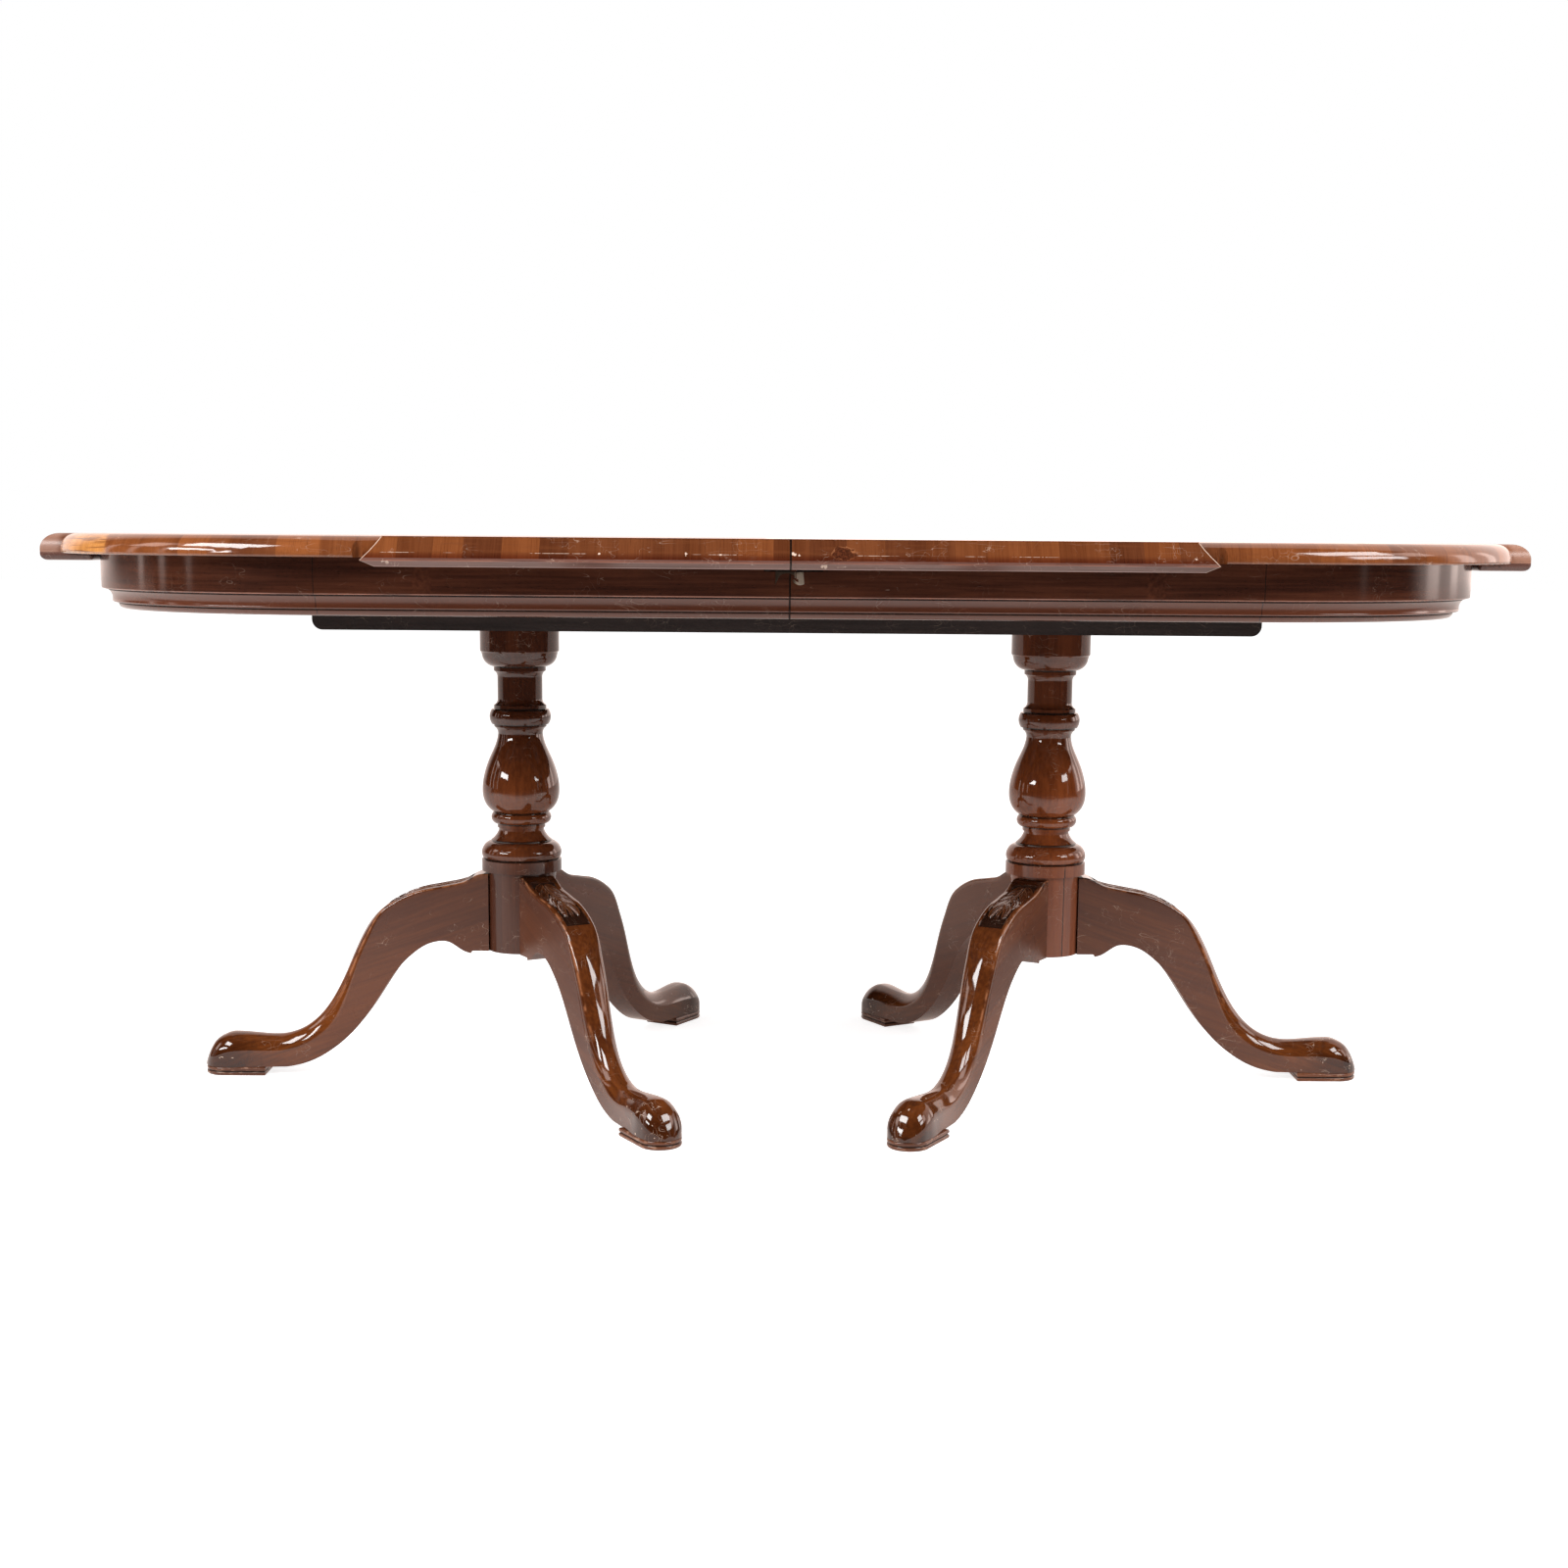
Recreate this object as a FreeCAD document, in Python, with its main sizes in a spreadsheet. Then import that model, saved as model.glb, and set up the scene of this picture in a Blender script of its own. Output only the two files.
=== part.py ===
import FreeCAD, Part
import math
import os

from FreeCAD import Placement, Rotation, Vector

# Pedestal dining table in mahogany: two moulded half tops on turned pedestals with cabriole legs,
# which draw apart on three-part wooden slides. +X runs along the table, -Y is its front, the floor is Z 0.

SIZES = {
    # Whole table
    "table_height": 756,
    "top_length": 1905,
    "top_width": 1117,
    "seam_gap": 0.6,
    "joint_clearance": 0.1,
    "cut_overrun": 5,
    # Top board and its moulded edge
    "board_thickness": 24.2,
    "middle_length": 966,
    "end_section_width": 430,
    "lobe_overhang": 47,
    "lobe_under_radius": 3,
    "corner_nook_radius": 6,
    "edge_quirk": 1.2,
    "edge_slope_run": 21,
    "edge_slope_drop": 25.9,
    "edge_slope_hollow": 0.8,
    "edge_round_radius": 20,
    # Strips that thicken the edge from below
    "strip_thickness": 10,
    "strip_width": 66,
    "strip_undercut_run": 14,
    "strip_outer_radius": 8,
    "strip_inner_radius": 5,
    # Apron and its lower moulding
    "apron_end_setback": 74.5,
    "apron_side_setback": 70.5,
    "apron_corner_radius": 328,
    "apron_depth": 68.3,
    "apron_thickness": 38,
    "fascia_depth": 43.3,
    "upper_quirk_depth": 8,
    "upper_quirk_height": 1.7,
    "cove_depth": 5,
    "cove_height": 12.8,
    "small_bead_depth": 2,
    "small_bead_height": 2.5,
    "lower_quirk_depth": 5,
    "lower_quirk_height": 1.6,
    "large_bead_depth": 8,
    "glue_block_length": 80,
    "glue_block_width": 28,
    "glue_block_height": 50,
    "glue_block_spacing": 300,
    # Slides
    "slide_length": 1190,
    "slide_thickness": 24,
    "slide_height": 92.8,
    "slide_offset": 282,
    "slide_gap": 0.5,
    "slide_relief": 1,
    "slide_end_radius": 13,
    "tongue_depth": 7,
    "tongue_height": 16,
    "tongue_clearance": 0.4,
    # Pedestals
    "pedestal_spacing": 736,
    "bearer_length": 300,
    "bearer_width": 360,
    "bearer_thickness": 37.8,
    "spigot_diameter": 45,
    "spigot_length": 30,
    "collar_diameter": 109,
    "shaft_diameter": 62,
    "ring_bead_diameter": 85,
    "vase_diameter": 107,
    "lower_bead_diameter": 83.5,
    "waist_diameter": 63,
    "torus_diameter": 111,
    "drum_diameter": 96,
    "drum_height": 113,
    "dovetail_neck": 22,
    "dovetail_width": 30,
    "dovetail_depth": 20,
    "dovetail_height": 98,
    # Cabriole legs and their feet
    "leg_reach": 450,
    "leg_underside": 181,
    "leg_width": 48,
    "foot_pad_thickness": 12,
    "foot_pad_length": 88,
    "foot_pad_width": 56,
    "foot_pad_reed_radius": 2.5,
    # Iron plate under each drum, and the wood screws
    "plate_thickness": 2.4,
    "plate_hub_diameter": 60,
    "plate_arm_width": 16,
    "plate_arm_reach": 62,
    "screw_diameter": 5,
    "screw_head_diameter": 9,
    "screw_head_height": 2,
    "plate_screw_length": 22,
    "bearer_screw_length": 52,
    "bearer_screw_inset": 30,
    # Seam pins and table locks
    "pin_diameter": 10,
    "pin_length": 40,
    "pin_inset": 158.5,
    "lock_inset": 34.5,
    "lock_metal_thickness": 2.4,
    "lock_flange_length": 30,
    "lock_flange_width": 26,
    "catch_length": 17,
    "catch_prong_drop": 17,
    "catch_prong_width": 5,
    "catch_arch_rise": 2.5,
    "catch_lip_width": 2,
    "catch_lip_drop": 2.6,
    "hook_pivot_reach": 11,
    "hook_pivot_drop": 7,
    "hook_pin_diameter": 3,
    "hook_pin_clearance": 0.05,
    "hook_eye_diameter": 8,
    "hook_inner_radius": 7.6,
    "hook_outer_radius": 10.5,
    "hook_clearance": 0.5,
}

# Turned column above its drum: diameter followed, share of that radius, share of the height to the
# bearer. Two stations in brackets are the middle and the end of an arc, more are a flowing curve.
TURNING_SHARES = [
    ("torus_diameter", 1.00, 0.000),
    ("torus_diameter", 1.00, 0.039),
    ("torus_diameter", 0.95, 0.043),
    [
        ("torus_diameter", 1.00, 0.056),
        ("torus_diameter", 0.975, 0.079),
        ("torus_diameter", 0.92, 0.091),
        ("torus_diameter", 0.78, 0.102),
    ],
    ("torus_diameter", 0.76, 0.103),
    ("torus_diameter", 0.76, 0.107),
    [("waist_diameter", 1.13, 0.123), ("waist_diameter", 1.00, 0.142)],
    ("waist_diameter", 1.00, 0.150),
    ("waist_diameter", 1.06, 0.151),
    ("waist_diameter", 1.06, 0.164),
    ("lower_bead_diameter", 0.89, 0.166),
    [("lower_bead_diameter", 1.00, 0.188), ("lower_bead_diameter", 0.95, 0.2015)],
    ("vase_diameter", 0.72, 0.206),
    [
        ("vase_diameter", 0.86, 0.222),
        ("vase_diameter", 0.97, 0.250),
        ("vase_diameter", 1.00, 0.280),
        ("vase_diameter", 0.95, 0.335),
        ("vase_diameter", 0.80, 0.395),
        ("vase_diameter", 0.65, 0.440),
        ("shaft_diameter", 1.00, 0.478),
    ],
    [("shaft_diameter", 1.05, 0.493), ("shaft_diameter", 1.17, 0.503)],
    ("shaft_diameter", 1.17, 0.510),
    ("ring_bead_diameter", 0.93, 0.512),
    [("ring_bead_diameter", 1.00, 0.5375), ("ring_bead_diameter", 0.93, 0.563)],
    ("shaft_diameter", 1.17, 0.565),
    ("shaft_diameter", 1.17, 0.578),
    [("shaft_diameter", 1.05, 0.586), ("shaft_diameter", 1.00, 0.602)],
    ("shaft_diameter", 1.00, 0.672),
    [("shaft_diameter", 1.05, 0.688), ("shaft_diameter", 1.16, 0.696)],
    ("shaft_diameter", 1.16, 0.710),
    ("collar_diameter", 0.72, 0.712),
    [("collar_diameter", 0.86, 0.724), ("collar_diameter", 0.95, 0.750)],
    ("collar_diameter", 0.97, 0.760),
    ("collar_diameter", 1.00, 0.765),
    ("collar_diameter", 1.00, 1.000),
]

# Cabriole leg: outer line and inner line as shares of the reach and of the rise from the foot pad to
# the drum's top, then the width and the rounding of the top face as shares of the leg's width
LEG_STATION_SHARES = [
    (0.080, 0.986, 0.080, 0.580, 1.00, 0.08),
    (0.129, 0.983, 0.129, 0.580, 1.00, 0.08),
    (0.178, 0.946, 0.171, 0.594, 1.00, 0.10),
    (0.251, 0.920, 0.229, 0.646, 1.00, 0.13),
    (0.324, 0.896, 0.289, 0.634, 1.00, 0.17),
    (0.400, 0.844, 0.338, 0.583, 0.98, 0.22),
    (0.460, 0.771, 0.380, 0.517, 0.95, 0.27),
    (0.513, 0.625, 0.422, 0.420, 0.90, 0.32),
    (0.564, 0.438, 0.471, 0.299, 0.85, 0.35),
    (0.622, 0.281, 0.529, 0.181, 0.81, 0.36),
    (0.678, 0.198, 0.591, 0.094, 0.80, 0.36),
    (0.738, 0.158, 0.667, 0.023, 0.83, 0.36),
    (0.802, 0.153, 0.767, -0.006, 0.92, 0.36),
    (0.878, 0.163, 0.856, -0.006, 1.06, 0.38),
    (0.933, 0.156, 0.927, -0.006, 1.15, 0.42),
    (0.971, 0.115, 0.971, -0.006, 0.98, 0.38),
    (0.991, 0.058, 0.991, -0.006, 0.60, 0.24),
    (1.000, 0.021, 1.000, -0.006, 0.26, 0.10),
]

# Degrees: a pedestal's legs about its column, and a hook's outline about its pin. The hook hangs that
# much below the place where its nose is up behind the catch.
LEG_ANGLES = (0, 120, 240)
HOOK_HANG = 22
HOOK_NOSE, HOOK_BEND, HOOK_HEEL, HOOK_BACK = 190, 230, 275, 340
HOOK_CROWN, HOOK_THROAT, HOOK_ROOT, HOOK_BELLY = 90, 215, 235, 212

doc = FreeCAD.newDocument("pedestal_dining_table")
sheet = doc.addObject("Spreadsheet::Sheet", "Sizes")
for row, (alias, value) in enumerate(SIZES.items(), start=1):
    sheet.set(f"A{row}", alias)
    sheet.set(f"B{row}", str(value))
    sheet.setAlias(f"B{row}", alias)
doc.recompute()


def size(alias):
    return float(sheet.get(alias))


# Levels and places that several pieces share
X_AXIS, Y_AXIS, Z_AXIS = Vector(1, 0, 0), Vector(0, 1, 0), Vector(0, 0, 1)
ON_XZ = Rotation(X_AXIS, 90)
ON_YZ = Rotation(Y_AXIS, Z_AXIS, X_AXIS, "XYZ")
seam = size("seam_gap") / 2
overrun = size("cut_overrun")
clearance = size("joint_clearance")
top_z = size("table_height")
under_z = top_z - size("board_thickness")
strip_z = under_z - size("strip_thickness")
half_length = size("top_length") / 2
half_width = size("top_width") / 2
middle_end = size("middle_length") / 2
apron_end = half_length - size("apron_end_setback")
apron_side = half_width - size("apron_side_setback")
corner_x = apron_end - size("apron_corner_radius")
corner_y = apron_side - size("apron_corner_radius")
pin_side = half_width - size("pin_inset")
pedestal_x = size("pedestal_spacing") / 2
column_top_z = under_z - size("bearer_thickness")
drum_z = size("leg_underside")
drum_top_z = drum_z + size("drum_height")
drum_radius = size("drum_diameter") / 2
foot_z = size("foot_pad_thickness")
kept = []


def outline(steps):
    # Edges of a closed outline. A step is a point, or a list: the middle and end of an arc, or a curve
    edges = []
    start = Vector(*steps[0], 0)
    for step in steps[1:] + steps[:1]:
        path = step if isinstance(step, list) else [step]
        points = [start] + [Vector(*point, 0) for point in path]
        start = points[-1]
        if len(points) == 3:
            edges.append(Part.Arc(*points))
        elif len(points) > 3:
            curve = Part.BSplineCurve()
            curve.interpolate(points)
            edges.append(curve)
        elif points[0].distanceToPoint(start) > 0:
            edges.append(Part.LineSegment(*points))
    return edges


def add_sketch(name, steps, base=Vector(), turn=Rotation()):
    sketch = doc.addObject("Sketcher::SketchObject", name)
    sketch.addGeometry(outline(steps), False)
    sketch.Placement = Placement(base, turn)
    return sketch


def body_sketch(body, role, name, steps):
    # Sketch on one of the body's own origin planes
    planes = [plane for plane in body.Origin.OriginFeatures if plane.Role == role]
    sketch = body.newObject("Sketcher::SketchObject", name)
    sketch.AttachmentSupport = (planes[0], [""])
    sketch.MapMode = "FlatFace"
    sketch.addGeometry(outline(steps), False)
    return sketch


def set_lengths(solid, lengths):
    # A length is a number or a formula on the sheet
    for side, length in lengths.items():
        if isinstance(length, str):
            solid.setExpression(side, length)
        else:
            setattr(solid, side, length)


def extrude(name, sketch, direction, length):
    solid = doc.addObject("Part::Extrusion", name)
    solid.Base = sketch
    solid.DirMode = "Custom"
    solid.Dir = direction
    solid.Solid = True
    set_lengths(solid, {"LengthFwd": length})
    return solid


def revolve(name, steps):
    # Full turn of a radius and height outline about the Z axis
    solid = doc.addObject("Part::Revolution", name)
    solid.Source = add_sketch(name + "Outline", steps, Vector(), ON_XZ)
    solid.Axis = Z_AXIS
    solid.Solid = True
    return solid


def box(name, corner, lengths):
    solid = doc.addObject("Part::Box", name)
    set_lengths(solid, dict(zip(("Length", "Width", "Height"), lengths)))
    solid.Placement.Base = corner
    return solid


def cylinder(name, base, radius, height, direction=Z_AXIS):
    solid = doc.addObject("Part::Cylinder", name)
    set_lengths(solid, {"Radius": radius, "Height": height})
    solid.Placement = Placement(base, Rotation(Z_AXIS, direction))
    return solid


def fuse(name, *shapes):
    result = doc.addObject("Part::MultiFuse", name)
    result.Shapes = list(shapes)
    result.Refine = True
    return result


def common(name, base, tool):
    result = doc.addObject("Part::Common", name)
    result.Base = base
    result.Tool = tool
    return result


def cut(name, base, *tools):
    result = doc.addObject("Part::Cut", name)
    result.Base = base
    result.Tool = tools[0] if len(tools) == 1 else fuse(name + "Tools", *tools)
    return result


def round_edges(name, solid, radius_of):
    # Fillet whose radius at each edge is chosen by its middle point, where None leaves the edge sharp
    doc.recompute()
    chosen = []
    for number, edge in enumerate(solid.Shape.Edges, start=1):
        radius = radius_of(edge.CenterOfMass)
        if radius:
            chosen.append((number, radius, radius))
    rounded = doc.addObject("Part::Fillet", name)
    rounded.Base = solid
    rounded.Edges = chosen
    return rounded


def mirrored(name, source, normal):
    twin = doc.addObject("Part::Mirroring", name)
    twin.Source = source
    twin.Normal = normal
    return twin


def group(name, solids):
    compound = doc.addObject("Part::Compound", name)
    compound.Links = solids
    return compound


def keep(label, source):
    source.Label = label
    kept.append(source)


def keep_sides(label, source):
    # A piece of the right half, and its twin on the left
    keep(label + "_right", source)
    keep(label + "_left", mirrored(label + "_left", source, X_AXIS))


def keep_front_back(label, source):
    keep(label + "_front", source)
    keep(label + "_back", mirrored(label + "_back", source, Y_AXIS))


def keep_corners(label, source):
    keep_sides(label + "_front", source)
    keep_sides(label + "_back", mirrored(label + "_back_right", source, Y_AXIS))


def near(value, target):
    return abs(value - target) < clearance


def screw(name, base, length, grown=0):
    # Countersunk wood screw, head down; grown all round, it is the tool for its own hole
    radius = size("screw_diameter") / 2 + grown
    head = size("screw_head_diameter") / 2 + grown
    head_height = size("screw_head_height")
    steps = [(0, 0), (head, 0), (radius, head_height), (radius, length + grown), (0, length + grown)]
    solid = revolve(name, steps)
    solid.Placement.Base = base
    return solid


# Moulded edges: each gives the way from the top arris down, by its inset and its drop

def sloped_board_edge(at):
    run, quirk, thickness = size("edge_slope_run"), size("edge_quirk"), size("board_thickness")
    foot = run * (1 - (thickness - quirk) / size("edge_slope_drop"))
    middle = at((run + foot) / 2 + size("edge_slope_hollow"), (quirk + thickness) / 2)
    return [at(run, 0), at(run, quirk), [middle, at(foot, thickness)]]


def sloped_strip_edge(at):
    arris_drop = size("edge_quirk") + size("edge_slope_drop") - size("board_thickness")
    foot = size("edge_slope_run") * arris_drop / size("edge_slope_drop")
    return [at(foot, 0), at(0, arris_drop), at(size("strip_undercut_run"), size("strip_thickness"))]


def rounded_board_edge(at):
    radius = size("edge_round_radius")
    shoulder = radius * (1 - math.sqrt(0.5))
    return [at(radius, 0), [at(shoulder, shoulder), at(0, radius)], at(0, size("board_thickness"))]


def rounded_strip_edge(at):
    radius, thickness = size("strip_outer_radius"), size("strip_thickness")
    shoulder = radius * (1 - math.sqrt(0.5))
    return [at(0, 0), at(0, thickness - radius), [at(shoulder, thickness - shoulder), at(radius, thickness)]]


def moulded_slab(name, ceiling, thickness, x_start, x_end, y_half, edge_steps):
    # Slab moulded and mitred round three sides, and square at its inner end
    def across(inset, drop):
        return (inset - y_half, ceiling - drop)

    def along(inset, drop):
        return (x_end - inset, ceiling - drop)

    far, floor = y_half + overrun, ceiling - thickness
    across_steps = [(far, ceiling), *edge_steps(across), (far, floor)]
    along_steps = [(x_start, ceiling), *edge_steps(along), (x_start, floor)]
    side = add_sketch(name + "Across", across_steps, Vector(x_start - overrun, 0, 0), ON_YZ)
    front = extrude(name + "Front", side, X_AXIS, x_end - x_start + 2 * overrun)
    back = mirrored(name + "Back", front, Y_AXIS)
    face = add_sketch(name + "Along", along_steps, Vector(0, -far, 0), ON_XZ)
    end = extrude(name + "End", face, Y_AXIS, 2 * far)
    return common(name, common(name + "Sides", front, back), end)


# Top board of the right half: rounded corner lobes, with straight middle and end sections proud of them

def bearer_screw_places():
    reach_x = size("bearer_length") / 2 - size("bearer_screw_inset")
    reach_y = size("bearer_width") / 2 - size("bearer_screw_inset")
    corners = [(-reach_x, -reach_y), (reach_x, -reach_y), (reach_x, reach_y), (-reach_x, reach_y)]
    return [Vector(pedestal_x + x, y, column_top_z) for x, y in corners]


def lobe_slab():
    lobe_radius = size("apron_corner_radius") + size("lobe_overhang")
    lobe_side, lobe_end = corner_y + lobe_radius, corner_x + lobe_radius
    diagonal = lobe_radius * math.sqrt(0.5)
    steps = [
        (seam, -lobe_side),
        (corner_x, -lobe_side),
        [(corner_x + diagonal, -corner_y - diagonal), (lobe_end, -corner_y)],
        (lobe_end, corner_y),
        [(corner_x + diagonal, corner_y + diagonal), (corner_x, lobe_side)],
        (seam, lobe_side),
    ]
    sketch = add_sketch("LobeOutline", steps, Vector(0, 0, under_z))
    block = extrude("LobeBlock", sketch, Z_AXIS, "Sizes.board_thickness")

    def rounding(middle):
        if near(middle.x, seam):
            return None
        if near(middle.z, top_z):
            return size("edge_round_radius")
        return size("lobe_under_radius") if near(middle.z, under_z) else None

    return round_edges("LobeSlab", block, rounding)


def top_board():
    thickness = size("board_thickness")
    middle = moulded_slab("MiddleSlab", top_z, thickness, seam, middle_end, half_width, sloped_board_edge)
    end_half = size("end_section_width") / 2
    end = moulded_slab("EndSlab", top_z, thickness, corner_x, half_length, end_half, rounded_board_edge)
    blank = fuse("BoardBlank", lobe_slab(), middle, end)
    nook_x = middle_end + size("corner_nook_radius")
    nook_y = apron_side + size("lobe_overhang")
    pin_x = -size("pin_length") / 2 - clearance
    pin_radius = "Sizes.pin_diameter / 2 + Sizes.joint_clearance"
    tools = []
    for side in (-1, 1):
        nook_base = Vector(nook_x, side * nook_y, under_z - overrun)
        tools.append(cylinder("Nook", nook_base, "Sizes.corner_nook_radius", thickness + 2 * overrun))
        pin_base = Vector(pin_x, side * pin_side, (top_z + under_z) / 2)
        tools.append(cylinder("PinHole", pin_base, pin_radius, -2 * pin_x, X_AXIS))
    for place in bearer_screw_places():
        tools.append(screw("BoardScrewHole", place, size("bearer_screw_length"), clearance))
    return cut("TopBoard", blank, *tools)


keep_sides("top", top_board())


# Strips under the straight sections of the edge

def edge_strip_side():
    thickness = size("strip_thickness")
    slab = moulded_slab("StripSlab", under_z, thickness, seam, middle_end, half_width, sloped_strip_edge)
    inner = size("strip_width") - half_width
    sides = ("Sizes.middle_length / 2", "Sizes.strip_width", "Sizes.strip_thickness")
    window = box("StripWindow", Vector(seam, -half_width, strip_z), sides)

    def rounding(middle):
        lower_inner = near(middle.y, inner) and near(middle.z, strip_z)
        return size("strip_inner_radius") if lower_inner else None

    return round_edges("StripSide", common("StripBlank", slab, window), rounding)


def edge_strip_end():
    x_start = half_length - size("strip_width")
    end_half = size("end_section_width") / 2
    thickness = size("strip_thickness")
    slab = moulded_slab("StripEndSlab", under_z, thickness, x_start, half_length, end_half, rounded_strip_edge)

    def rounding(middle):
        lower_inner = near(middle.x, x_start) and near(middle.z, strip_z)
        return size("strip_inner_radius") if lower_inner else None

    return round_edges("StripEnd", slab, rounding)


keep_corners("edge_strip", edge_strip_side())
keep_sides("edge_strip_end", edge_strip_end())


# Apron: straight rails and bent corner pieces, all with one moulded section

def apron_section(face, inward):
    def at(depth, drop):
        return (face + inward * depth, under_z - drop)

    fascia, bead = size("fascia_depth"), size("upper_quirk_height")
    shoulder = bead * (1 - math.sqrt(0.5))
    cove_head, cove_top = size("upper_quirk_depth"), fascia + bead
    cove_back, cove_foot = cove_head + size("cove_depth"), cove_top + size("cove_height")
    cove_middle = at(cove_head + size("cove_depth") * math.sqrt(0.5), (cove_foot + 2 * cove_top) / 3)
    small_back, small_foot = cove_back + size("small_bead_depth"), cove_foot + size("small_bead_height")
    large_face, large_head = small_back + size("lower_quirk_depth"), small_foot + size("lower_quirk_height")
    large_depth, foot = size("large_bead_depth"), size("apron_depth")
    large_middle = at(
        large_face + large_depth * (1 - math.sqrt(0.5)),
        large_head + (foot - large_head) * math.sqrt(0.5),
    )
    return [
        at(0, 0),
        at(0, fascia - bead),
        [at(shoulder, fascia - shoulder), at(bead, fascia)],
        at(cove_head, cove_top),
        [cove_middle, at(cove_back, cove_foot)],
        [at(cove_back, (cove_foot + small_foot) / 2), at(small_back, small_foot)],
        at(large_face, (small_foot + large_head) / 2),
        at(large_face, large_head),
        [large_middle, at(large_face + large_depth, foot)],
        at(size("apron_thickness"), foot),
        at(size("apron_thickness"), 0),
    ]


def apron_rail():
    body = doc.addObject("PartDesign::Body", "ApronRail")
    section = body_sketch(body, "YZ_Plane", "RailSection", apron_section(-apron_side, 1))
    pad = body.newObject("PartDesign::Pad", "RailRun")
    pad.Profile = section
    reach = "Sizes.top_length / 2 - Sizes.apron_end_setback - Sizes.apron_corner_radius"
    pad.setExpression("Length", reach + " - Sizes.seam_gap / 2")
    body.Placement.Base = Vector(seam, 0, 0)
    return body


def apron_corner():
    # The bend turns about the corner's centre, and the straight run ends at the middle of the table's end
    radius = size("apron_corner_radius")
    body = doc.addObject("PartDesign::Body", "ApronCorner")
    bend_section = body_sketch(body, "YZ_Plane", "BendSection", apron_section(-radius, 1))
    bend = body.newObject("PartDesign::Revolution", "Bend")
    bend.Profile = bend_section
    bend.ReferenceAxis = (bend_section, ["V_Axis"])
    bend.Angle = 90
    run_section = body_sketch(body, "XZ_Plane", "EndSection", apron_section(radius, -1))
    run = body.newObject("PartDesign::Pad", "EndRun")
    run.Profile = run_section
    reach = "Sizes.top_width / 2 - Sizes.apron_side_setback - Sizes.apron_corner_radius"
    run.setExpression("Length", reach)
    run.Reversed = True
    body.Placement.Base = Vector(corner_x, -corner_y, 0)
    return body


def glue_blocks():
    # Two behind each rail, and one across the joint in the middle of the end
    length, width = size("glue_block_length"), size("glue_block_width")
    low_z = under_z - size("glue_block_height")
    inner_y = apron_side - size("apron_thickness")
    along = ("Sizes.glue_block_length", "Sizes.glue_block_width", "Sizes.glue_block_height")
    across = ("Sizes.glue_block_width", "Sizes.glue_block_length", "Sizes.glue_block_height")
    blocks = []
    for y_low in (-inner_y, inner_y - width):
        for x_high in (corner_x, corner_x - size("glue_block_spacing")):
            blocks.append(box("GlueBlock", Vector(x_high - length, y_low, low_z), along))
    end_corner = Vector(apron_end - size("apron_thickness") - width, -length / 2, low_z)
    blocks.append(box("EndGlueBlock", end_corner, across))
    return group("GlueBlocks", blocks)


keep_corners("apron_rail", apron_rail())
keep_corners("apron_corner", apron_corner())
keep_sides("glue_blocks", glue_blocks())


# Slides: the outer member is fixed to the left half, the inner one to the right, the middle one floats

def slide_member(name, place):
    # Counted from the front: 0 is the outer member, 1 the middle one and 2 the inner one
    length, thickness, height = size("slide_length"), size("slide_thickness"), size("slide_height")
    y_low = place * (thickness + size("slide_gap")) - size("slide_offset")
    foot = under_z - height
    sides = ("Sizes.slide_length", "Sizes.slide_thickness", "Sizes.slide_height")
    blank = box(name + "Blank", Vector(-length / 2, y_low, foot), sides)

    def rounding(middle):
        lower_end = near(middle.z, foot) and near(abs(middle.x), length / 2)
        return size("slide_end_radius") if lower_end else None

    rail = round_edges(name + "Rounded", blank, rounding)
    tongue, depth = size("tongue_height"), size("tongue_depth")
    middle_z = foot + height / 2
    relief_z = under_z - size("slide_relief")
    long = length + 2 * overrun
    if place == 1:
        tongue_base = Vector(-length / 2, y_low - depth, middle_z - tongue / 2)
        tongues = box(name + "Tongues", tongue_base, ("Sizes.slide_length", thickness + 2 * depth, tongue))
        relief_x = -long / 2
        rail = fuse(name + "Tongued", rail, tongues)
    else:
        groove = tongue + 2 * size("tongue_clearance")
        groove_y = y_low + thickness - depth if place == 0 else y_low - overrun
        groove_base = Vector(-long / 2, groove_y, middle_z - groove / 2)
        slot = box(name + "Groove", groove_base, (long, depth + overrun, groove))
        relief_x = -size("slide_relief") if place == 0 else size("slide_relief") - long
        rail = cut(name + "Grooved", rail, slot)
    relief_sides = (long, thickness + 2 * overrun, "Sizes.cut_overrun")
    relief = box(name + "Relief", Vector(relief_x, y_low - overrun, relief_z), relief_sides)
    return cut(name, rail, relief)


for place, label in enumerate(("slide_outer", "slide_middle", "slide_inner")):
    keep_front_back(label, slide_member(label.title().replace("_", ""), place))


# Pedestals: bearer, column, three dovetailed legs on moulded pads, and the iron plate below

def bearer():
    length, width = size("bearer_length"), size("bearer_width")
    sides = ("Sizes.bearer_length", "Sizes.bearer_width", "Sizes.bearer_thickness")
    block = box("BearerBlock", Vector(pedestal_x - length / 2, -width / 2, column_top_z), sides)
    socket_base = Vector(pedestal_x, 0, column_top_z - overrun)
    radius = "Sizes.spigot_diameter / 2 + Sizes.joint_clearance"
    socket = cylinder("SpigotSocket", socket_base, radius, overrun + size("spigot_length") + clearance)
    screw_length = size("bearer_screw_length")
    holes = [screw("BearerScrewHole", place, screw_length, clearance) for place in bearer_screw_places()]
    return cut("Bearer", block, socket, *holes)


def bearer_screws():
    length = size("bearer_screw_length")
    return group("BearerScrews", [screw("BearerScrew", place, length) for place in bearer_screw_places()])


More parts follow.
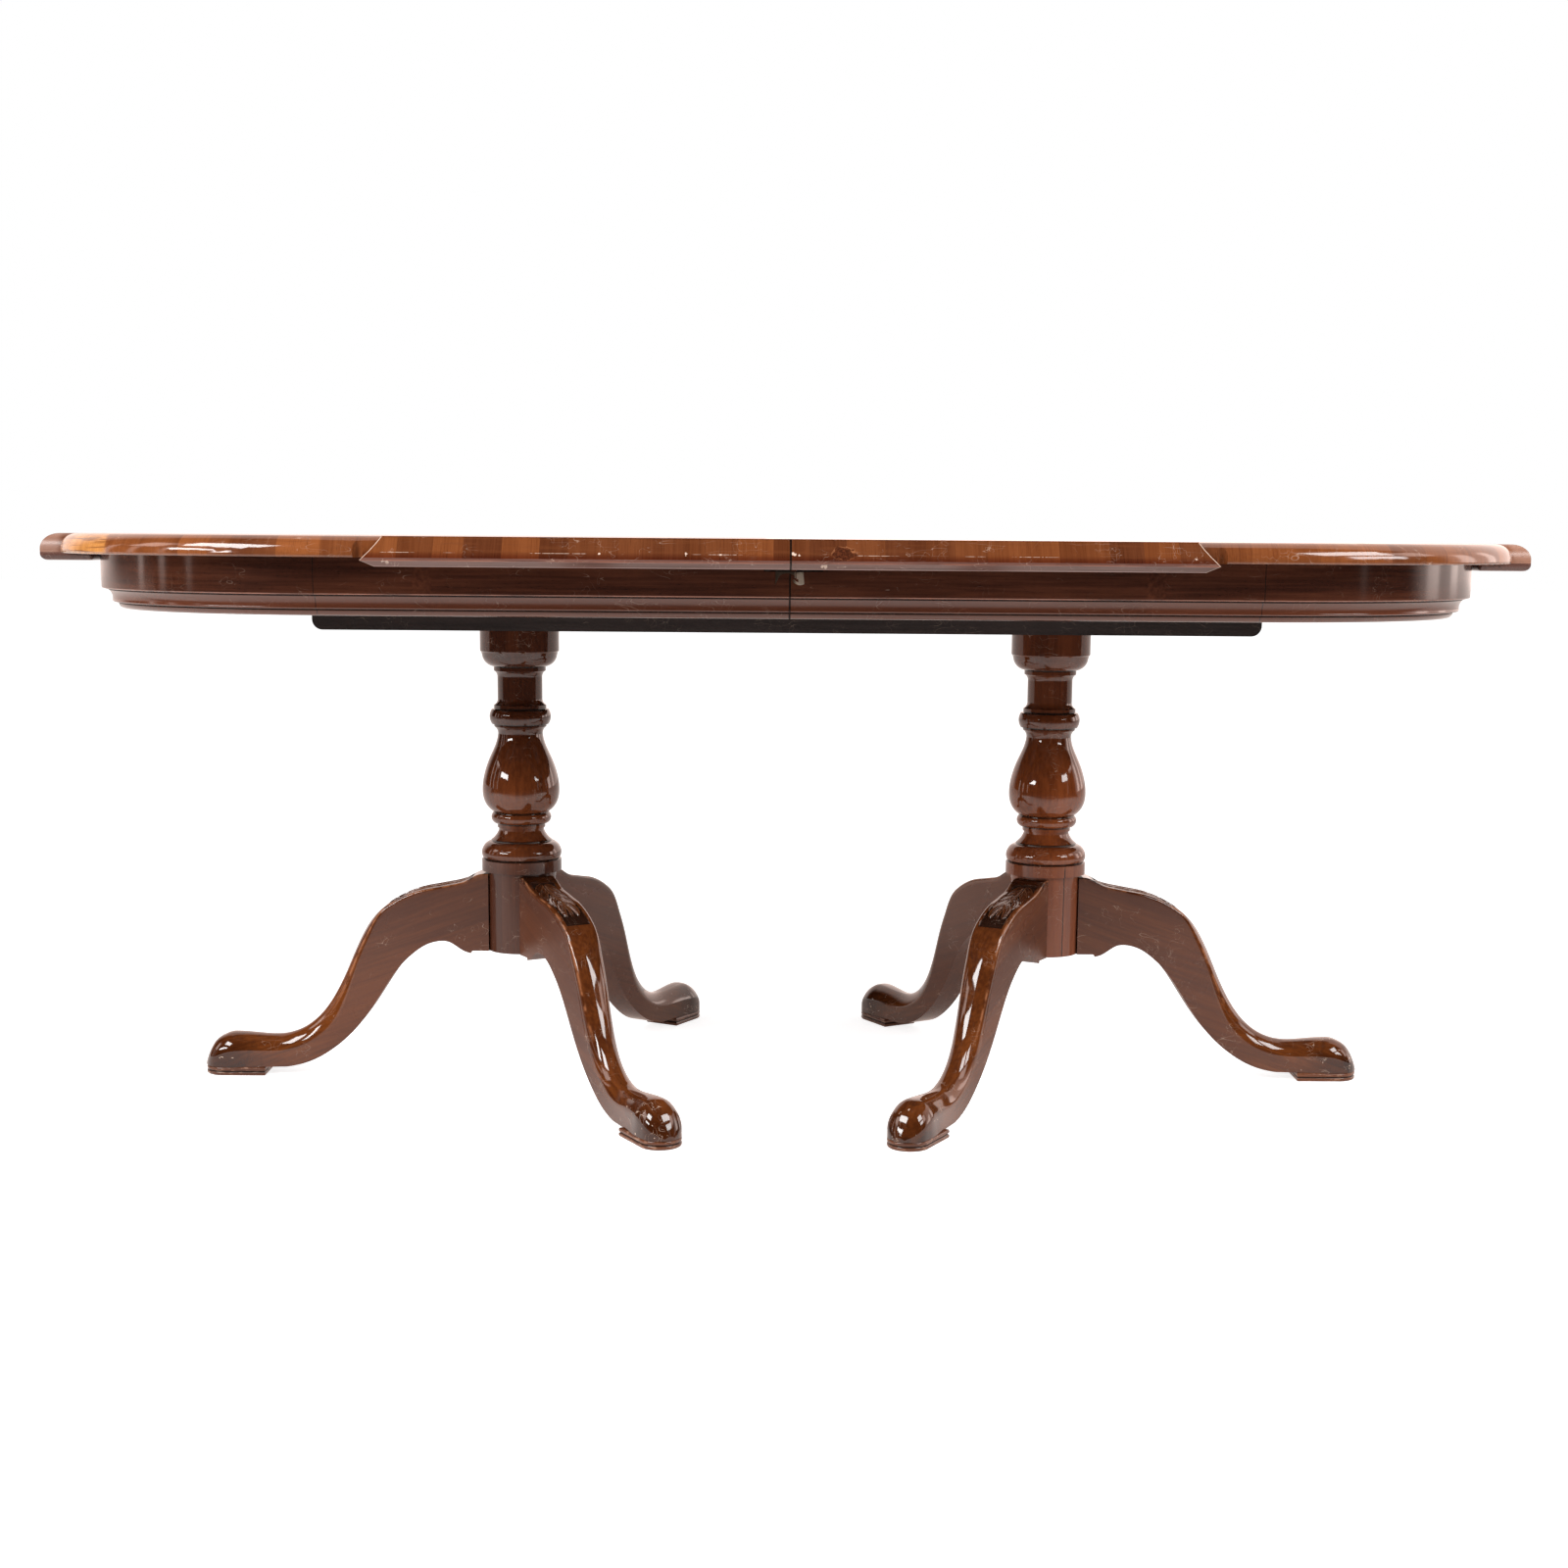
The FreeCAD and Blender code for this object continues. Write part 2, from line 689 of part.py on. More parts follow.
def turning_steps():
    rise = column_top_z - drum_top_z

    def at(station):
        alias, radius_share, height_share = station
        return (radius_share * size(alias) / 2, drum_top_z + height_share * rise)

    steps = [(0, drum_z), (drum_radius, drum_z), (drum_radius, drum_top_z)]
    for station in TURNING_SHARES:
        steps.append([at(point) for point in station] if isinstance(station, list) else at(station))
    spigot = size("spigot_diameter") / 2
    spigot_top = column_top_z + size("spigot_length")
    return steps + [(spigot, column_top_z), (spigot, spigot_top), (0, spigot_top)]


def dovetail_steps(grown, reach):
    # Plan of a dovetail in the drum, wider inside, run out to a given radius
    neck = size("dovetail_neck") / 2 + grown
    wide = size("dovetail_width") / 2 + grown
    inner = drum_radius - size("dovetail_depth") - grown
    outer = neck - (wide - neck) * (reach - drum_radius) / size("dovetail_depth")
    return [(inner, -wide), (reach, -outer), (reach, outer), (inner, wide)]


def column():
    body = doc.addObject("PartDesign::Body", "TurnedColumn")
    profile = body_sketch(body, "XZ_Plane", "TurningProfile", turning_steps())
    turning = body.newObject("PartDesign::Revolution", "Turning")
    turning.Profile = profile
    turning.ReferenceAxis = (profile, ["V_Axis"])
    turning.Angle = 360
    plan = body_sketch(body, "XY_Plane", "DovetailPlan", dovetail_steps(clearance, drum_radius + overrun))
    slot = body.newObject("PartDesign::Pocket", "DovetailSlot")
    slot.Profile = plan
    slot.setExpression("Length", "Sizes.leg_underside + Sizes.dovetail_height + Sizes.joint_clearance")
    slot.Reversed = True
    slots = body.newObject("PartDesign::PolarPattern", "DovetailSlots")
    slots.Originals = [slot]
    slots.Axis = (plan, ["N_Axis"])
    slots.Occurrences = len(LEG_ANGLES)
    body.Tip = slots
    hole_base = Vector(0, 0, drum_z - size("plate_thickness"))
    hole = screw("HubScrewHole", hole_base, size("plate_screw_length"), clearance)
    bored = cut("Column", body, hole)
    bored.Placement.Base = Vector(pedestal_x, 0, 0)
    return bored


def leg_section(shares):
    outer_x, outer_z, inner_x, inner_z, width_share, round_share = shares
    reach, rise = size("leg_reach"), drum_top_z - foot_z
    outer = Vector(outer_x * reach, 0, foot_z + outer_z * rise)
    inner = Vector(inner_x * reach, 0, foot_z + inner_z * rise)
    up = outer - inner
    tall = up.Length
    half = width_share * size("leg_width") / 2
    corner = round_share * size("leg_width")
    shoulder = corner * (1 - math.sqrt(0.5))
    steps = [
        (-half, 0),
        (half, 0),
        (half, tall - corner),
        [(half - shoulder, tall - shoulder), (half - corner, tall)],
        (corner - half, tall),
        [(shoulder - half, tall - shoulder), (-half, tall - corner)],
    ]
    return add_sketch("LegSection", steps, inner, Rotation(Y_AXIS, up, Y_AXIS.cross(up), "XYZ"))


def leg(angle):
    form = doc.addObject("Part::Loft", "LegForm")
    form.Sections = [leg_section(shares) for shares in LEG_STATION_SHARES]
    form.Solid = True
    width, reach = size("leg_width"), size("leg_reach")
    drum = cylinder("DrumSpace", Vector(), "Sizes.drum_diameter / 2 + Sizes.joint_clearance", top_z)
    plate_reach = size("plate_arm_reach") + size("plate_arm_width") / 2
    seat = box("PlateSeat", Vector(0, -width, 0), (plate_reach + clearance, 2 * width, drum_z))
    floor = box("PadSeat", Vector(0, -width, -overrun), (reach + overrun, 2 * width, foot_z + overrun))
    shaped = cut("LegShaped", form, drum, seat, floor)
    tongue_plan = dovetail_steps(0, drum_radius + size("dovetail_depth") / 2)
    tongue_sketch = add_sketch("TonguePlan", tongue_plan, Vector(0, 0, drum_z))
    tongue = extrude("LegTongue", tongue_sketch, Z_AXIS, "Sizes.dovetail_height")
    joined = fuse("LegJoined", shaped, tongue)
    place = Vector(size("plate_arm_reach"), 0, drum_z - size("plate_thickness"))
    solid = cut("Leg", joined, screw("LegScrewHole", place, size("plate_screw_length"), clearance))
    solid.Placement = Placement(Vector(pedestal_x, 0, 0), Rotation(Z_AXIS, angle))
    return solid


def foot_pad(angle):
    # Two reeds, one on the other, with a round toe and a square heel
    half, height = size("foot_pad_width") / 2, foot_z / 2
    toe = size("leg_reach")
    heel = toe - size("foot_pad_length")
    steps = [(heel, -half), (toe - half, -half), [(toe, 0), (toe - half, half)], (heel, half)]
    reeds = []
    for level in (0, height):
        sketch = add_sketch("PadOutline", steps, Vector(0, 0, level))
        slab = extrude("PadReed", sketch, Z_AXIS, "Sizes.foot_pad_thickness / 2")

        def rounding(middle):
            flat = near(middle.z, level) or near(middle.z, level + height)
            return size("foot_pad_reed_radius") if flat else None

        reeds.append(round_edges("PadReedRounded", slab, rounding))
    pad = fuse("FootPad", *reeds)
    pad.Placement = Placement(Vector(pedestal_x, 0, 0), Rotation(Z_AXIS, angle))
    return pad


def plate_screw_places():
    # The hub's screw, then one in each leg
    low_z = drum_z - size("plate_thickness")
    centre = Vector(pedestal_x, 0, low_z)
    reach = Vector(size("plate_arm_reach"), 0, 0)
    return [centre] + [centre + Rotation(Z_AXIS, angle).multVec(reach) for angle in LEG_ANGLES]


def leg_plate():
    centre, *ends = plate_screw_places()
    thickness = "Sizes.plate_thickness"
    pieces = [cylinder("PlateHub", centre, "Sizes.plate_hub_diameter / 2", thickness)]
    for angle, end in zip(LEG_ANGLES, ends):
        turn = Rotation(Z_AXIS, angle)
        arm = box("PlateArm", Vector(), ("Sizes.plate_arm_reach", "Sizes.plate_arm_width", thickness))
        arm.Placement = Placement(centre - turn.multVec(Y_AXIS * size("plate_arm_width") / 2), turn)
        pieces.append(arm)
        pieces.append(cylinder("PlateArmEnd", end, "Sizes.plate_arm_width / 2", thickness))
    length = size("plate_screw_length")
    holes = [screw("PlateScrewHole", place, length, clearance) for place in plate_screw_places()]
    return cut("LegPlate", fuse("PlateBlank", *pieces), *holes)


def leg_plate_screws():
    length = size("plate_screw_length")
    return group("PlateScrews", [screw("PlateScrew", place, length) for place in plate_screw_places()])


keep_sides("pedestal_bearer", bearer())
keep_sides("bearer_screws", bearer_screws())
keep_sides("column", column())
outer_angle, back_angle, front_angle = LEG_ANGLES
for label, piece in (("leg", leg), ("foot_pad", foot_pad)):
    keep_sides(label + "_outer", piece(outer_angle))
    keep_corners(label, piece(front_angle))
keep_sides("leg_plate", leg_plate())
keep_sides("leg_plate_screws", leg_plate_screws())


# Pins that line up the two halves, fixed in the left one

def seam_pins():
    pins = []
    for side in (-1, 1):
        base = Vector(-size("pin_length") / 2, side * pin_side, (top_z + under_z) / 2)
        pins.append(cylinder("SeamPin", base, "Sizes.pin_diameter / 2", "Sizes.pin_length", X_AXIS))
    return group("SeamPins", pins)


keep("seam_pins", seam_pins())


# Locks under the seam: a catch on the left half, and on the right a hook that swings down about its pin

pivot_x = size("hook_pivot_reach")
pivot_z = strip_z - size("hook_pivot_drop")
lock_y = size("lock_inset") - half_width
metal = size("lock_metal_thickness")
eye_radius = size("hook_eye_diameter") / 2


def lock_plate(name, steps):
    sketch = add_sketch(name + "Outline", steps, Vector(0, lock_y - metal / 2, 0), ON_XZ)
    return extrude(name, sketch, Y_AXIS, "Sizes.lock_metal_thickness")


def lock_flange(name, x_low):
    base = Vector(x_low, lock_y - size("lock_flange_width") / 2, strip_z - metal)
    sides = ("Sizes.lock_flange_length", "Sizes.lock_flange_width", "Sizes.lock_metal_thickness")
    return box(name, base, sides)


def catch():
    # The web has a prong at its far end, and a lip across the seam that sits inside the hook
    left, web_z = -size("catch_length"), strip_z - metal
    lip_right = pivot_x - eye_radius - size("hook_clearance")
    lip_left = lip_right - size("catch_lip_width")
    lip_z = pivot_z - size("catch_lip_drop")
    prong_right = left + size("catch_prong_width")
    arch = ((lip_left + prong_right) / 2, pivot_z + size("catch_arch_rise"))
    steps = [
        (left, web_z),
        (lip_right, web_z),
        (lip_right, lip_z),
        (lip_left, lip_z),
        (lip_left, pivot_z),
        [arch, (prong_right, pivot_z)],
        (left, strip_z - size("catch_prong_drop")),
    ]
    flange = lock_flange("CatchFlange", -seam - size("lock_flange_length"))
    return fuse("Catch", flange, lock_plate("CatchWeb", steps))


def hook():
    def at(radius, angle):
        turn = math.radians(angle + HOOK_HANG)
        return (pivot_x + radius * math.cos(turn), pivot_z + radius * math.sin(turn))

    inner, outer = size("hook_inner_radius"), size("hook_outer_radius")
    steps = [
        at(inner, HOOK_NOSE),
        at(outer, HOOK_NOSE),
        [at(outer, HOOK_BEND), at(outer, HOOK_HEEL)],
        at(eye_radius, HOOK_BACK),
        [at(eye_radius, HOOK_CROWN), at(eye_radius, HOOK_THROAT)],
        at(inner, HOOK_ROOT),
        [at(inner, HOOK_BELLY), at(inner, HOOK_NOSE)],
    ]
    eye_base = Vector(pivot_x, lock_y - metal, pivot_z)
    radius = "Sizes.hook_pin_diameter / 2 + Sizes.hook_pin_clearance"
    return cut("Hook", lock_plate("HookPlate", steps), cylinder("HookEye", eye_base, radius, 2 * metal, Y_AXIS))


def hook_bracket():
    # Flange under the strip, a lug behind the hook and the pin that carries it
    gap = size("hook_clearance")
    lug_height = strip_z - metal - pivot_z + eye_radius
    lug_base = Vector(pivot_x - eye_radius, lock_y + metal / 2 + gap, pivot_z - eye_radius)
    lug = box("HookLug", lug_base, ("Sizes.hook_eye_diameter", "Sizes.lock_metal_thickness", lug_height))
    pin_base = Vector(pivot_x, lock_y - metal / 2 - gap, pivot_z)
    pin = cylinder("HookPin", pin_base, "Sizes.hook_pin_diameter / 2", 2 * metal + 2 * gap, Y_AXIS)
    return fuse("HookBracket", lock_flange("HookFlange", pivot_x - eye_radius), lug, pin)


keep_front_back("catch", catch())
keep_front_back("hook", hook())
keep_front_back("hook_bracket", hook_bracket())

doc.recompute()
for item in doc.Objects:
    if "Invalid" in item.State or "Error" in item.State:
        raise RuntimeError(f"{item.Name} failed: {item.State}")
for piece in kept:
    if piece.Shape.isNull() or not piece.Shape.isValid():
        raise RuntimeError(f"{piece.Label} has no valid shape")
os.makedirs("parts", exist_ok=True)
for piece in kept:
    piece.Shape.exportStep(f"parts/{piece.Label}.step")
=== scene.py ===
import math

import bpy
import numpy as np
from mathutils import Matrix, Vector


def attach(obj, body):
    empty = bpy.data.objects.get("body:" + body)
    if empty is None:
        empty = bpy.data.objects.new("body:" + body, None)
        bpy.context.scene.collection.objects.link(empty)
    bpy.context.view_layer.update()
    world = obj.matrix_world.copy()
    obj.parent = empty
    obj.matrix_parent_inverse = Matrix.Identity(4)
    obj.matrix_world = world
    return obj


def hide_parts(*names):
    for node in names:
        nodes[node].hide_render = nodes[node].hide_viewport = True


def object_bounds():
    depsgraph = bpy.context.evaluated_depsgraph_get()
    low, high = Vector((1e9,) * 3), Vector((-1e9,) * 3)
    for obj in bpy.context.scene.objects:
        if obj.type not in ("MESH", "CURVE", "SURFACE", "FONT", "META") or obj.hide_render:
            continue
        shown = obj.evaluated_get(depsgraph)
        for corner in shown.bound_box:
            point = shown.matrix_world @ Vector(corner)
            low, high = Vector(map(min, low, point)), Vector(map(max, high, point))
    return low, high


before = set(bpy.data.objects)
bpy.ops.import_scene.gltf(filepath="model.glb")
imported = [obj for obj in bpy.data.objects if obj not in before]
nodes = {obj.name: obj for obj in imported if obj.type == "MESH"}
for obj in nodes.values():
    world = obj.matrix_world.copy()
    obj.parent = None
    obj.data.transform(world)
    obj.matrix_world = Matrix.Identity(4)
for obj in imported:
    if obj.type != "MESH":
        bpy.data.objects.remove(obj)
cad_low, cad_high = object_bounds()

# The two top boards. Each is solid mahogany with a band of short cross-grain blocks round its edge,
# moulded to a bullnose at the four lobes and to a sloped face along the middle, then French polished.
# Years of use have chipped the arrises and scuffed the front slope, and a knot shows near the seam.

corner_x, corner_y, lobe_radius = 0.550, 0.160, 0.375
middle_half, end_half = 0.483, 0.215
half_length, half_width, top_z = cad_high.x, cad_high.y, cad_high.z
board_thickness = 0.0242
under_z = top_z - board_thickness
band_width, block_length, joint_width = 0.085, 0.043, 0.0005


def feed(tree, socket, value):
    """Gives a socket its value, which is a number, a colour or another node's output."""
    if isinstance(value, bpy.types.NodeSocket):
        tree.links.new(value, socket)
    else:
        socket.default_value = value


def add_node(tree, kind, settings, inputs):
    node = tree.nodes.new(kind)
    for name, value in settings.items():
        setattr(node, name, value)
    for key, value in inputs.items():
        feed(tree, node.inputs[key], value)
    return node


def calc(tree, operation, *values):
    node = tree.nodes.new("ShaderNodeMath")
    node.operation = operation
    for socket, value in zip(node.inputs, values):
        feed(tree, socket, value)
    return node.outputs[0]


def times(tree, first, second):
    return calc(tree, "MULTIPLY", first, second)


def distance(tree, across, up):
    return calc(tree, "SQRT", calc(tree, "MULTIPLY_ADD", across, across, times(tree, up, up)))


def above_zero(tree, value, amount):
    """The amount where the value is above zero, and nothing elsewhere."""
    return times(tree, calc(tree, "GREATER_THAN", value, 0.0), amount)


def fade(tree, value, start, end):
    """0 at start and 1 at end, with a smooth way between them."""
    inputs = {"Value": value, "From Min": start, "From Max": end}
    node = add_node(tree, "ShaderNodeMapRange", {"interpolation_type": "SMOOTHSTEP"}, inputs)
    return node.outputs["Result"]


def near(tree, value, place, reach, core):
    """1 where the value is within core of the place, and 0 where it is beyond reach of it."""
    return fade(tree, calc(tree, "ABSOLUTE", calc(tree, "SUBTRACT", value, place)), reach, core)


def stretched(tree, place, factors):
    node = add_node(tree, "ShaderNodeVectorMath", {"operation": "MULTIPLY"}, {0: place, 1: factors})
    return node.outputs["Vector"]


def joined(tree, x, y, z):
    return add_node(tree, "ShaderNodeCombineXYZ", {}, {"X": x, "Y": y, "Z": z}).outputs["Vector"]


def split(tree, place):
    return add_node(tree, "ShaderNodeSeparateXYZ", {}, {"Vector": place}).outputs


def cloudy(tree, place, factors, detail=2.0, distortion=0.0):
    """Noise from 0 to 1, drawn out by a number of waves per metre along each axis."""
    inputs = {
        "Vector": stretched(tree, place, factors), "Scale": 1.0, "Detail": detail, "Distortion": distortion,
    }
    return add_node(tree, "ShaderNodeTexNoise", {}, inputs).outputs["Fac"]


def wavering(tree, place, factors, amount, detail=2.0):
    """Noise that swings about zero by up to half the amount."""
    return times(tree, calc(tree, "SUBTRACT", cloudy(tree, place, factors, detail), 0.5), amount)


def tinted(tree, share, first, second, way="MIX"):
    settings = {"data_type": "RGBA", "blend_type": way}
    return add_node(tree, "ShaderNodeMix", settings, {0: share, 6: first, 7: second}).outputs[2]


def new_group(name, inputs, outputs):
    group = bpy.data.node_groups.new(name, "ShaderNodeTree")
    for label, kind in inputs:
        group.interface.new_socket(label, in_out="INPUT", socket_type=kind)
    for label, kind in outputs:
        group.interface.new_socket(label, in_out="OUTPUT", socket_type=kind)
    given, result = group.nodes.new("NodeGroupInput"), group.nodes.new("NodeGroupOutput")
    return group, given.outputs, result.inputs


def placed(tree, group, inputs):
    return add_node(tree, "ShaderNodeGroup", {"node_tree": group}, inputs).outputs


def new_material(name, roughness, specular, coat):
    made = bpy.data.materials.new(name)
    made.use_nodes = True
    tree = made.node_tree
    shader = tree.nodes["Principled BSDF"]
    shader.inputs["Roughness"].default_value = roughness
    shader.inputs["Specular IOR Level"].default_value = specular
    shader.inputs["Coat Weight"].default_value = coat
    place = tree.nodes.new("ShaderNodeTexCoord").outputs["Object"]
    return made, tree, shader, place


def bumped(tree, shader, height, depth):
    bump = add_node(tree, "ShaderNodeBump", {}, {"Height": height, "Distance": depth})
    tree.links.new(bump.outputs["Normal"], shader.inputs["Normal"])


def spots(tree, x, z, level, roughness, places):
    """Ragged spots on the front, given by their x, their drop below a level and their radius."""
    found = 0.0
    for spot_x, drop, radius in places:
        across, up = calc(tree, "SUBTRACT", x, spot_x), calc(tree, "SUBTRACT", z, level - drop)
        far = calc(tree, "ADD", distance(tree, across, up), roughness)
        found = calc(tree, "MAXIMUM", fade(tree, far, radius, 0.8 * radius), found)
    return found


def dress(starts, material):
    """Gives the CAD nodes whose names start with one of the words their finish."""
    for name, node in nodes.items():
        if name.startswith(starts):
            node.data.materials.clear()
            node.data.materials.append(material)


# Mahogany: broad ribbons, finer streaks and short open pores, all drawn out along the first axis
FLOAT, COLOUR, VECTOR = "NodeSocketFloat", "NodeSocketColor", "NodeSocketVector"
mahogany, given, result = new_group(
    "mahogany figure",
    [("Place", VECTOR), ("Dark", COLOUR), ("Light", COLOUR), ("Pore Depth", FLOAT)],
    [("Color", COLOUR), ("Height", FLOAT)],
)
ribbon = cloudy(mahogany, given["Place"], (2.2, 17.0, 17.0), 4.0, 0.6)
streak = cloudy(mahogany, given["Place"], (9.0, 240.0, 240.0), 3.0, 0.2)
pore = fade(mahogany, cloudy(mahogany, given["Place"], (130.0, 2300.0, 2300.0), 1.0), 0.62, 0.72)
figure = calc(mahogany, "MULTIPLY_ADD", streak, 0.45, times(mahogany, ribbon, 0.75))
wood_colour = tinted(mahogany, fade(mahogany, figure, 0.42, 0.80), given["Dark"], given["Light"])
pore_share = times(mahogany, pore, given["Pore Depth"])
wood_colour = tinted(mahogany, pore_share, wood_colour, (0.25, 0.20, 0.18, 1.0), "MULTIPLY")
mahogany.links.new(wood_colour, result["Color"])
mahogany.links.new(calc(mahogany, "SUBTRACT", times(mahogany, streak, 0.35), pore), result["Height"])

# Marks of use: long hair scratches that run any way, and a dull bloom in the polish
marks, given, result = new_group(
    "marks of use", [("Place", VECTOR), ("Amount", FLOAT)], [("Scratch", FLOAT), ("Bloom", FLOAT)]
)
broken = fade(marks, cloudy(marks, given["Place"], (31.0, 27.0, 29.0)), 0.52, 0.62)
scratch = 0.0
for way in ((19.0, 110.0, 60.0), (90.0, 23.0, 75.0)):
    line = near(marks, cloudy(marks, given["Place"], way, 1.0), 0.5, 0.0045, 0.0015)
    scratch = calc(marks, "MAXIMUM", times(marks, line, broken), scratch)
marks.links.new(times(marks, scratch, given["Amount"]), result["Scratch"])
marks.links.new(cloudy(marks, given["Place"], (7.0, 7.0, 9.0), 4.0), result["Bloom"])

# Where a point of the top lies: how far in from the outline, and how far along it
banding, given, result = new_group(
    "edge banding", [("Place", VECTOR)],
    [("Inset", FLOAT), ("Along", FLOAT), ("Tone", FLOAT), ("Joint", FLOAT)],
)
x, y, _ = split(banding, given["Place"])
across_x, across_y = calc(banding, "ABSOLUTE", x), calc(banding, "ABSOLUTE", y)
past_x = calc(banding, "SUBTRACT", across_x, corner_x)
past_y = calc(banding, "SUBTRACT", across_y, corner_y)
bend_x, bend_y = calc(banding, "MAXIMUM", past_x, 0.0), calc(banding, "MAXIMUM", past_y, 0.0)
outline = calc(banding, "SUBTRACT", distance(banding, bend_x, bend_y), lobe_radius)
for box_x, box_y in ((middle_half, half_width), (half_length, end_half)):
    out_x, out_y = calc(banding, "SUBTRACT", across_x, box_x), calc(banding, "SUBTRACT", across_y, box_y)
    outline = calc(banding, "MINIMUM", calc(banding, "MAXIMUM", out_x, out_y), outline)
banding.links.new(times(banding, outline, -1.0), result["Inset"])
round_way = times(banding, calc(banding, "ARCTAN2", bend_y, bend_x), lobe_radius)
side_way = calc(banding, "MAXIMUM", times(banding, past_x, -1.0), 0.0)
end_way = calc(banding, "MINIMUM", past_y, 0.0)
along = calc(banding, "ADD", round_way, calc(banding, "ADD", side_way, end_way))
banding.links.new(along, result["Along"])
quarter = calc(banding, "ADD", above_zero(banding, x, 3.17), above_zero(banding, y, 7.41))
block_place = calc(banding, "DIVIDE", calc(banding, "ADD", along, quarter), block_length)
block_inputs = {"W": block_place, "Scale": 1.0}
blocks = add_node(banding, "ShaderNodeTexVoronoi", {"voronoi_dimensions": "1D"}, block_inputs)
tone = add_node(banding, "ShaderNodeSeparateColor", {}, {"Color": blocks.outputs["Color"]})
banding.links.new(tone.outputs["Red"], result["Tone"])
rim_settings = {"voronoi_dimensions": "1D", "feature": "DISTANCE_TO_EDGE"}
rims = add_node(banding, "ShaderNodeTexVoronoi", rim_settings, block_inputs)
joint_gap = joint_width / block_length
banding.links.new(fade(banding, rims.outputs["Distance"], joint_gap, 0.0), result["Joint"])

field_dark, field_light = (0.120, 0.034, 0.012, 1.0), (0.270, 0.090, 0.032, 1.0)
block_dark, block_light = (0.118, 0.035, 0.013, 1.0), (0.205, 0.062, 0.019, 1.0)
# dirt_and_shade is the dark of real joints, seams and cracks, and also the colour of painted shade lines.
painted_light_amber, bare_wood, dirt_and_shade = (0.60, 0.260, 0.070, 1.0), (0.62, 0.45, 0.35, 1.0), (0.012, 0.007, 0.005, 1.0)
seam_dark, seam_clear = 0.0009, 0.0014
mitre_width, slope_run = 0.0013, 0.0222
painted_light_right, painted_light_left, painted_light_front = (-0.800, -0.806), (-0.902, -0.896), (-0.225, -0.235)
lobe_side, nook_side, end_highlight_side = (0.490, 0.500), (0.885, 0.915), (0.922, 0.934)
crumbs = (420.0, 420.0, 420.0)


def mitre_glint_and_wear(tree, far_x, y):
    """The arris where the front slope turns the corner, worn bare and with a painted glint along it."""
    side_inset = calc(tree, "SUBTRACT", middle_half, far_x)
    front_inset = calc(tree, "SUBTRACT", half_width, calc(tree, "ABSOLUTE", y))
    line = near(tree, side_inset, front_inset, mitre_width, 0.5 * mitre_width)
    return times(tree, line, calc(tree, "LESS_THAN", front_inset, slope_run))


def scratched(tree, shader, place, colour, amount):
    """Gives the shader its colour with hair scratches, and returns the bloom of the polish."""
    worn = placed(tree, marks, {"Place": place, "Amount": amount})
    tree.links.new(tinted(tree, worn["Scratch"], colour, bare_wood), shader.inputs["Base Color"])
    return worn["Bloom"]


top_finish, tree, shader, place = new_material("polished mahogany top", 0.45, 0.0, 1.0)
x, y, z = split(tree, place)
far_x = calc(tree, "ABSOLUTE", x)
front = calc(tree, "LESS_THAN", y, 0.0)
band = placed(tree, banding, {"Place": place})
half_seed = above_zero(tree, x, 3.3)
field_place = joined(tree, x, y, calc(tree, "ADD", z, half_seed))
field = placed(tree, mahogany, {
    "Place": field_place, "Dark": field_dark, "Light": field_light, "Pore Depth": 0.6,
})
down_edge = calc(tree, "SUBTRACT", band["Inset"], z)
block_seed = times(tree, band["Tone"], 9.0)
toned = tinted(tree, fade(tree, band["Tone"], 0.05, 0.95), block_dark, block_light)
toned = tinted(tree, fade(tree, far_x, *lobe_side), toned, (1.15, 1.15, 1.10, 1.0), "MULTIPLY")
# Painted light: the front of the left end is painted amber where the left light falls on it.
painted_light_end = times(tree, fade(tree, x, *painted_light_right), fade(tree, x, *painted_light_left))
painted_light_end = times(tree, painted_light_end, fade(tree, y, *painted_light_front))
toned = tinted(tree, times(tree, painted_light_end, 0.8), toned, painted_light_amber)
toned_dark = tinted(tree, 1.0, toned, (0.66, 0.60, 0.56, 1.0), "MULTIPLY")
block = placed(tree, mahogany, {
    "Place": joined(tree, down_edge, band["Along"], block_seed),
    "Dark": toned_dark, "Light": toned, "Pore Depth": 0.7,
})
in_band = calc(tree, "LESS_THAN", band["Inset"], band_width)
colour = tinted(tree, in_band, field["Color"], block["Color"])
band_line = near(tree, band["Inset"], band_width, joint_width, 0.0)
joint_line = times(tree, times(tree, band["Joint"], in_band), 0.35)
colour = tinted(tree, times(tree, calc(tree, "MAXIMUM", band_line, joint_line), 0.7), colour, dirt_and_shade)
long_streak = fade(tree, cloudy(tree, place, (14.0, 14.0, 330.0), 3.0), 0.50, 0.62)
streak_share = calc(tree, "MULTIPLY_ADD", painted_light_end, 0.35, 0.35)
colour = tinted(tree, times(tree, long_streak, streak_share), colour, (0.13, 0.040, 0.014, 1.0))
# Painted shade: the bottom of the middle slope is darkened.
low_slope_shade = fade(tree, z, under_z + 0.009, under_z + 0.001)
low_slope_shade = times(tree, low_slope_shade, calc(tree, "LESS_THAN", far_x, middle_half + 0.001))
colour = tinted(tree, low_slope_shade, colour, (0.56, 0.40, 0.42, 1.0), "MULTIPLY")

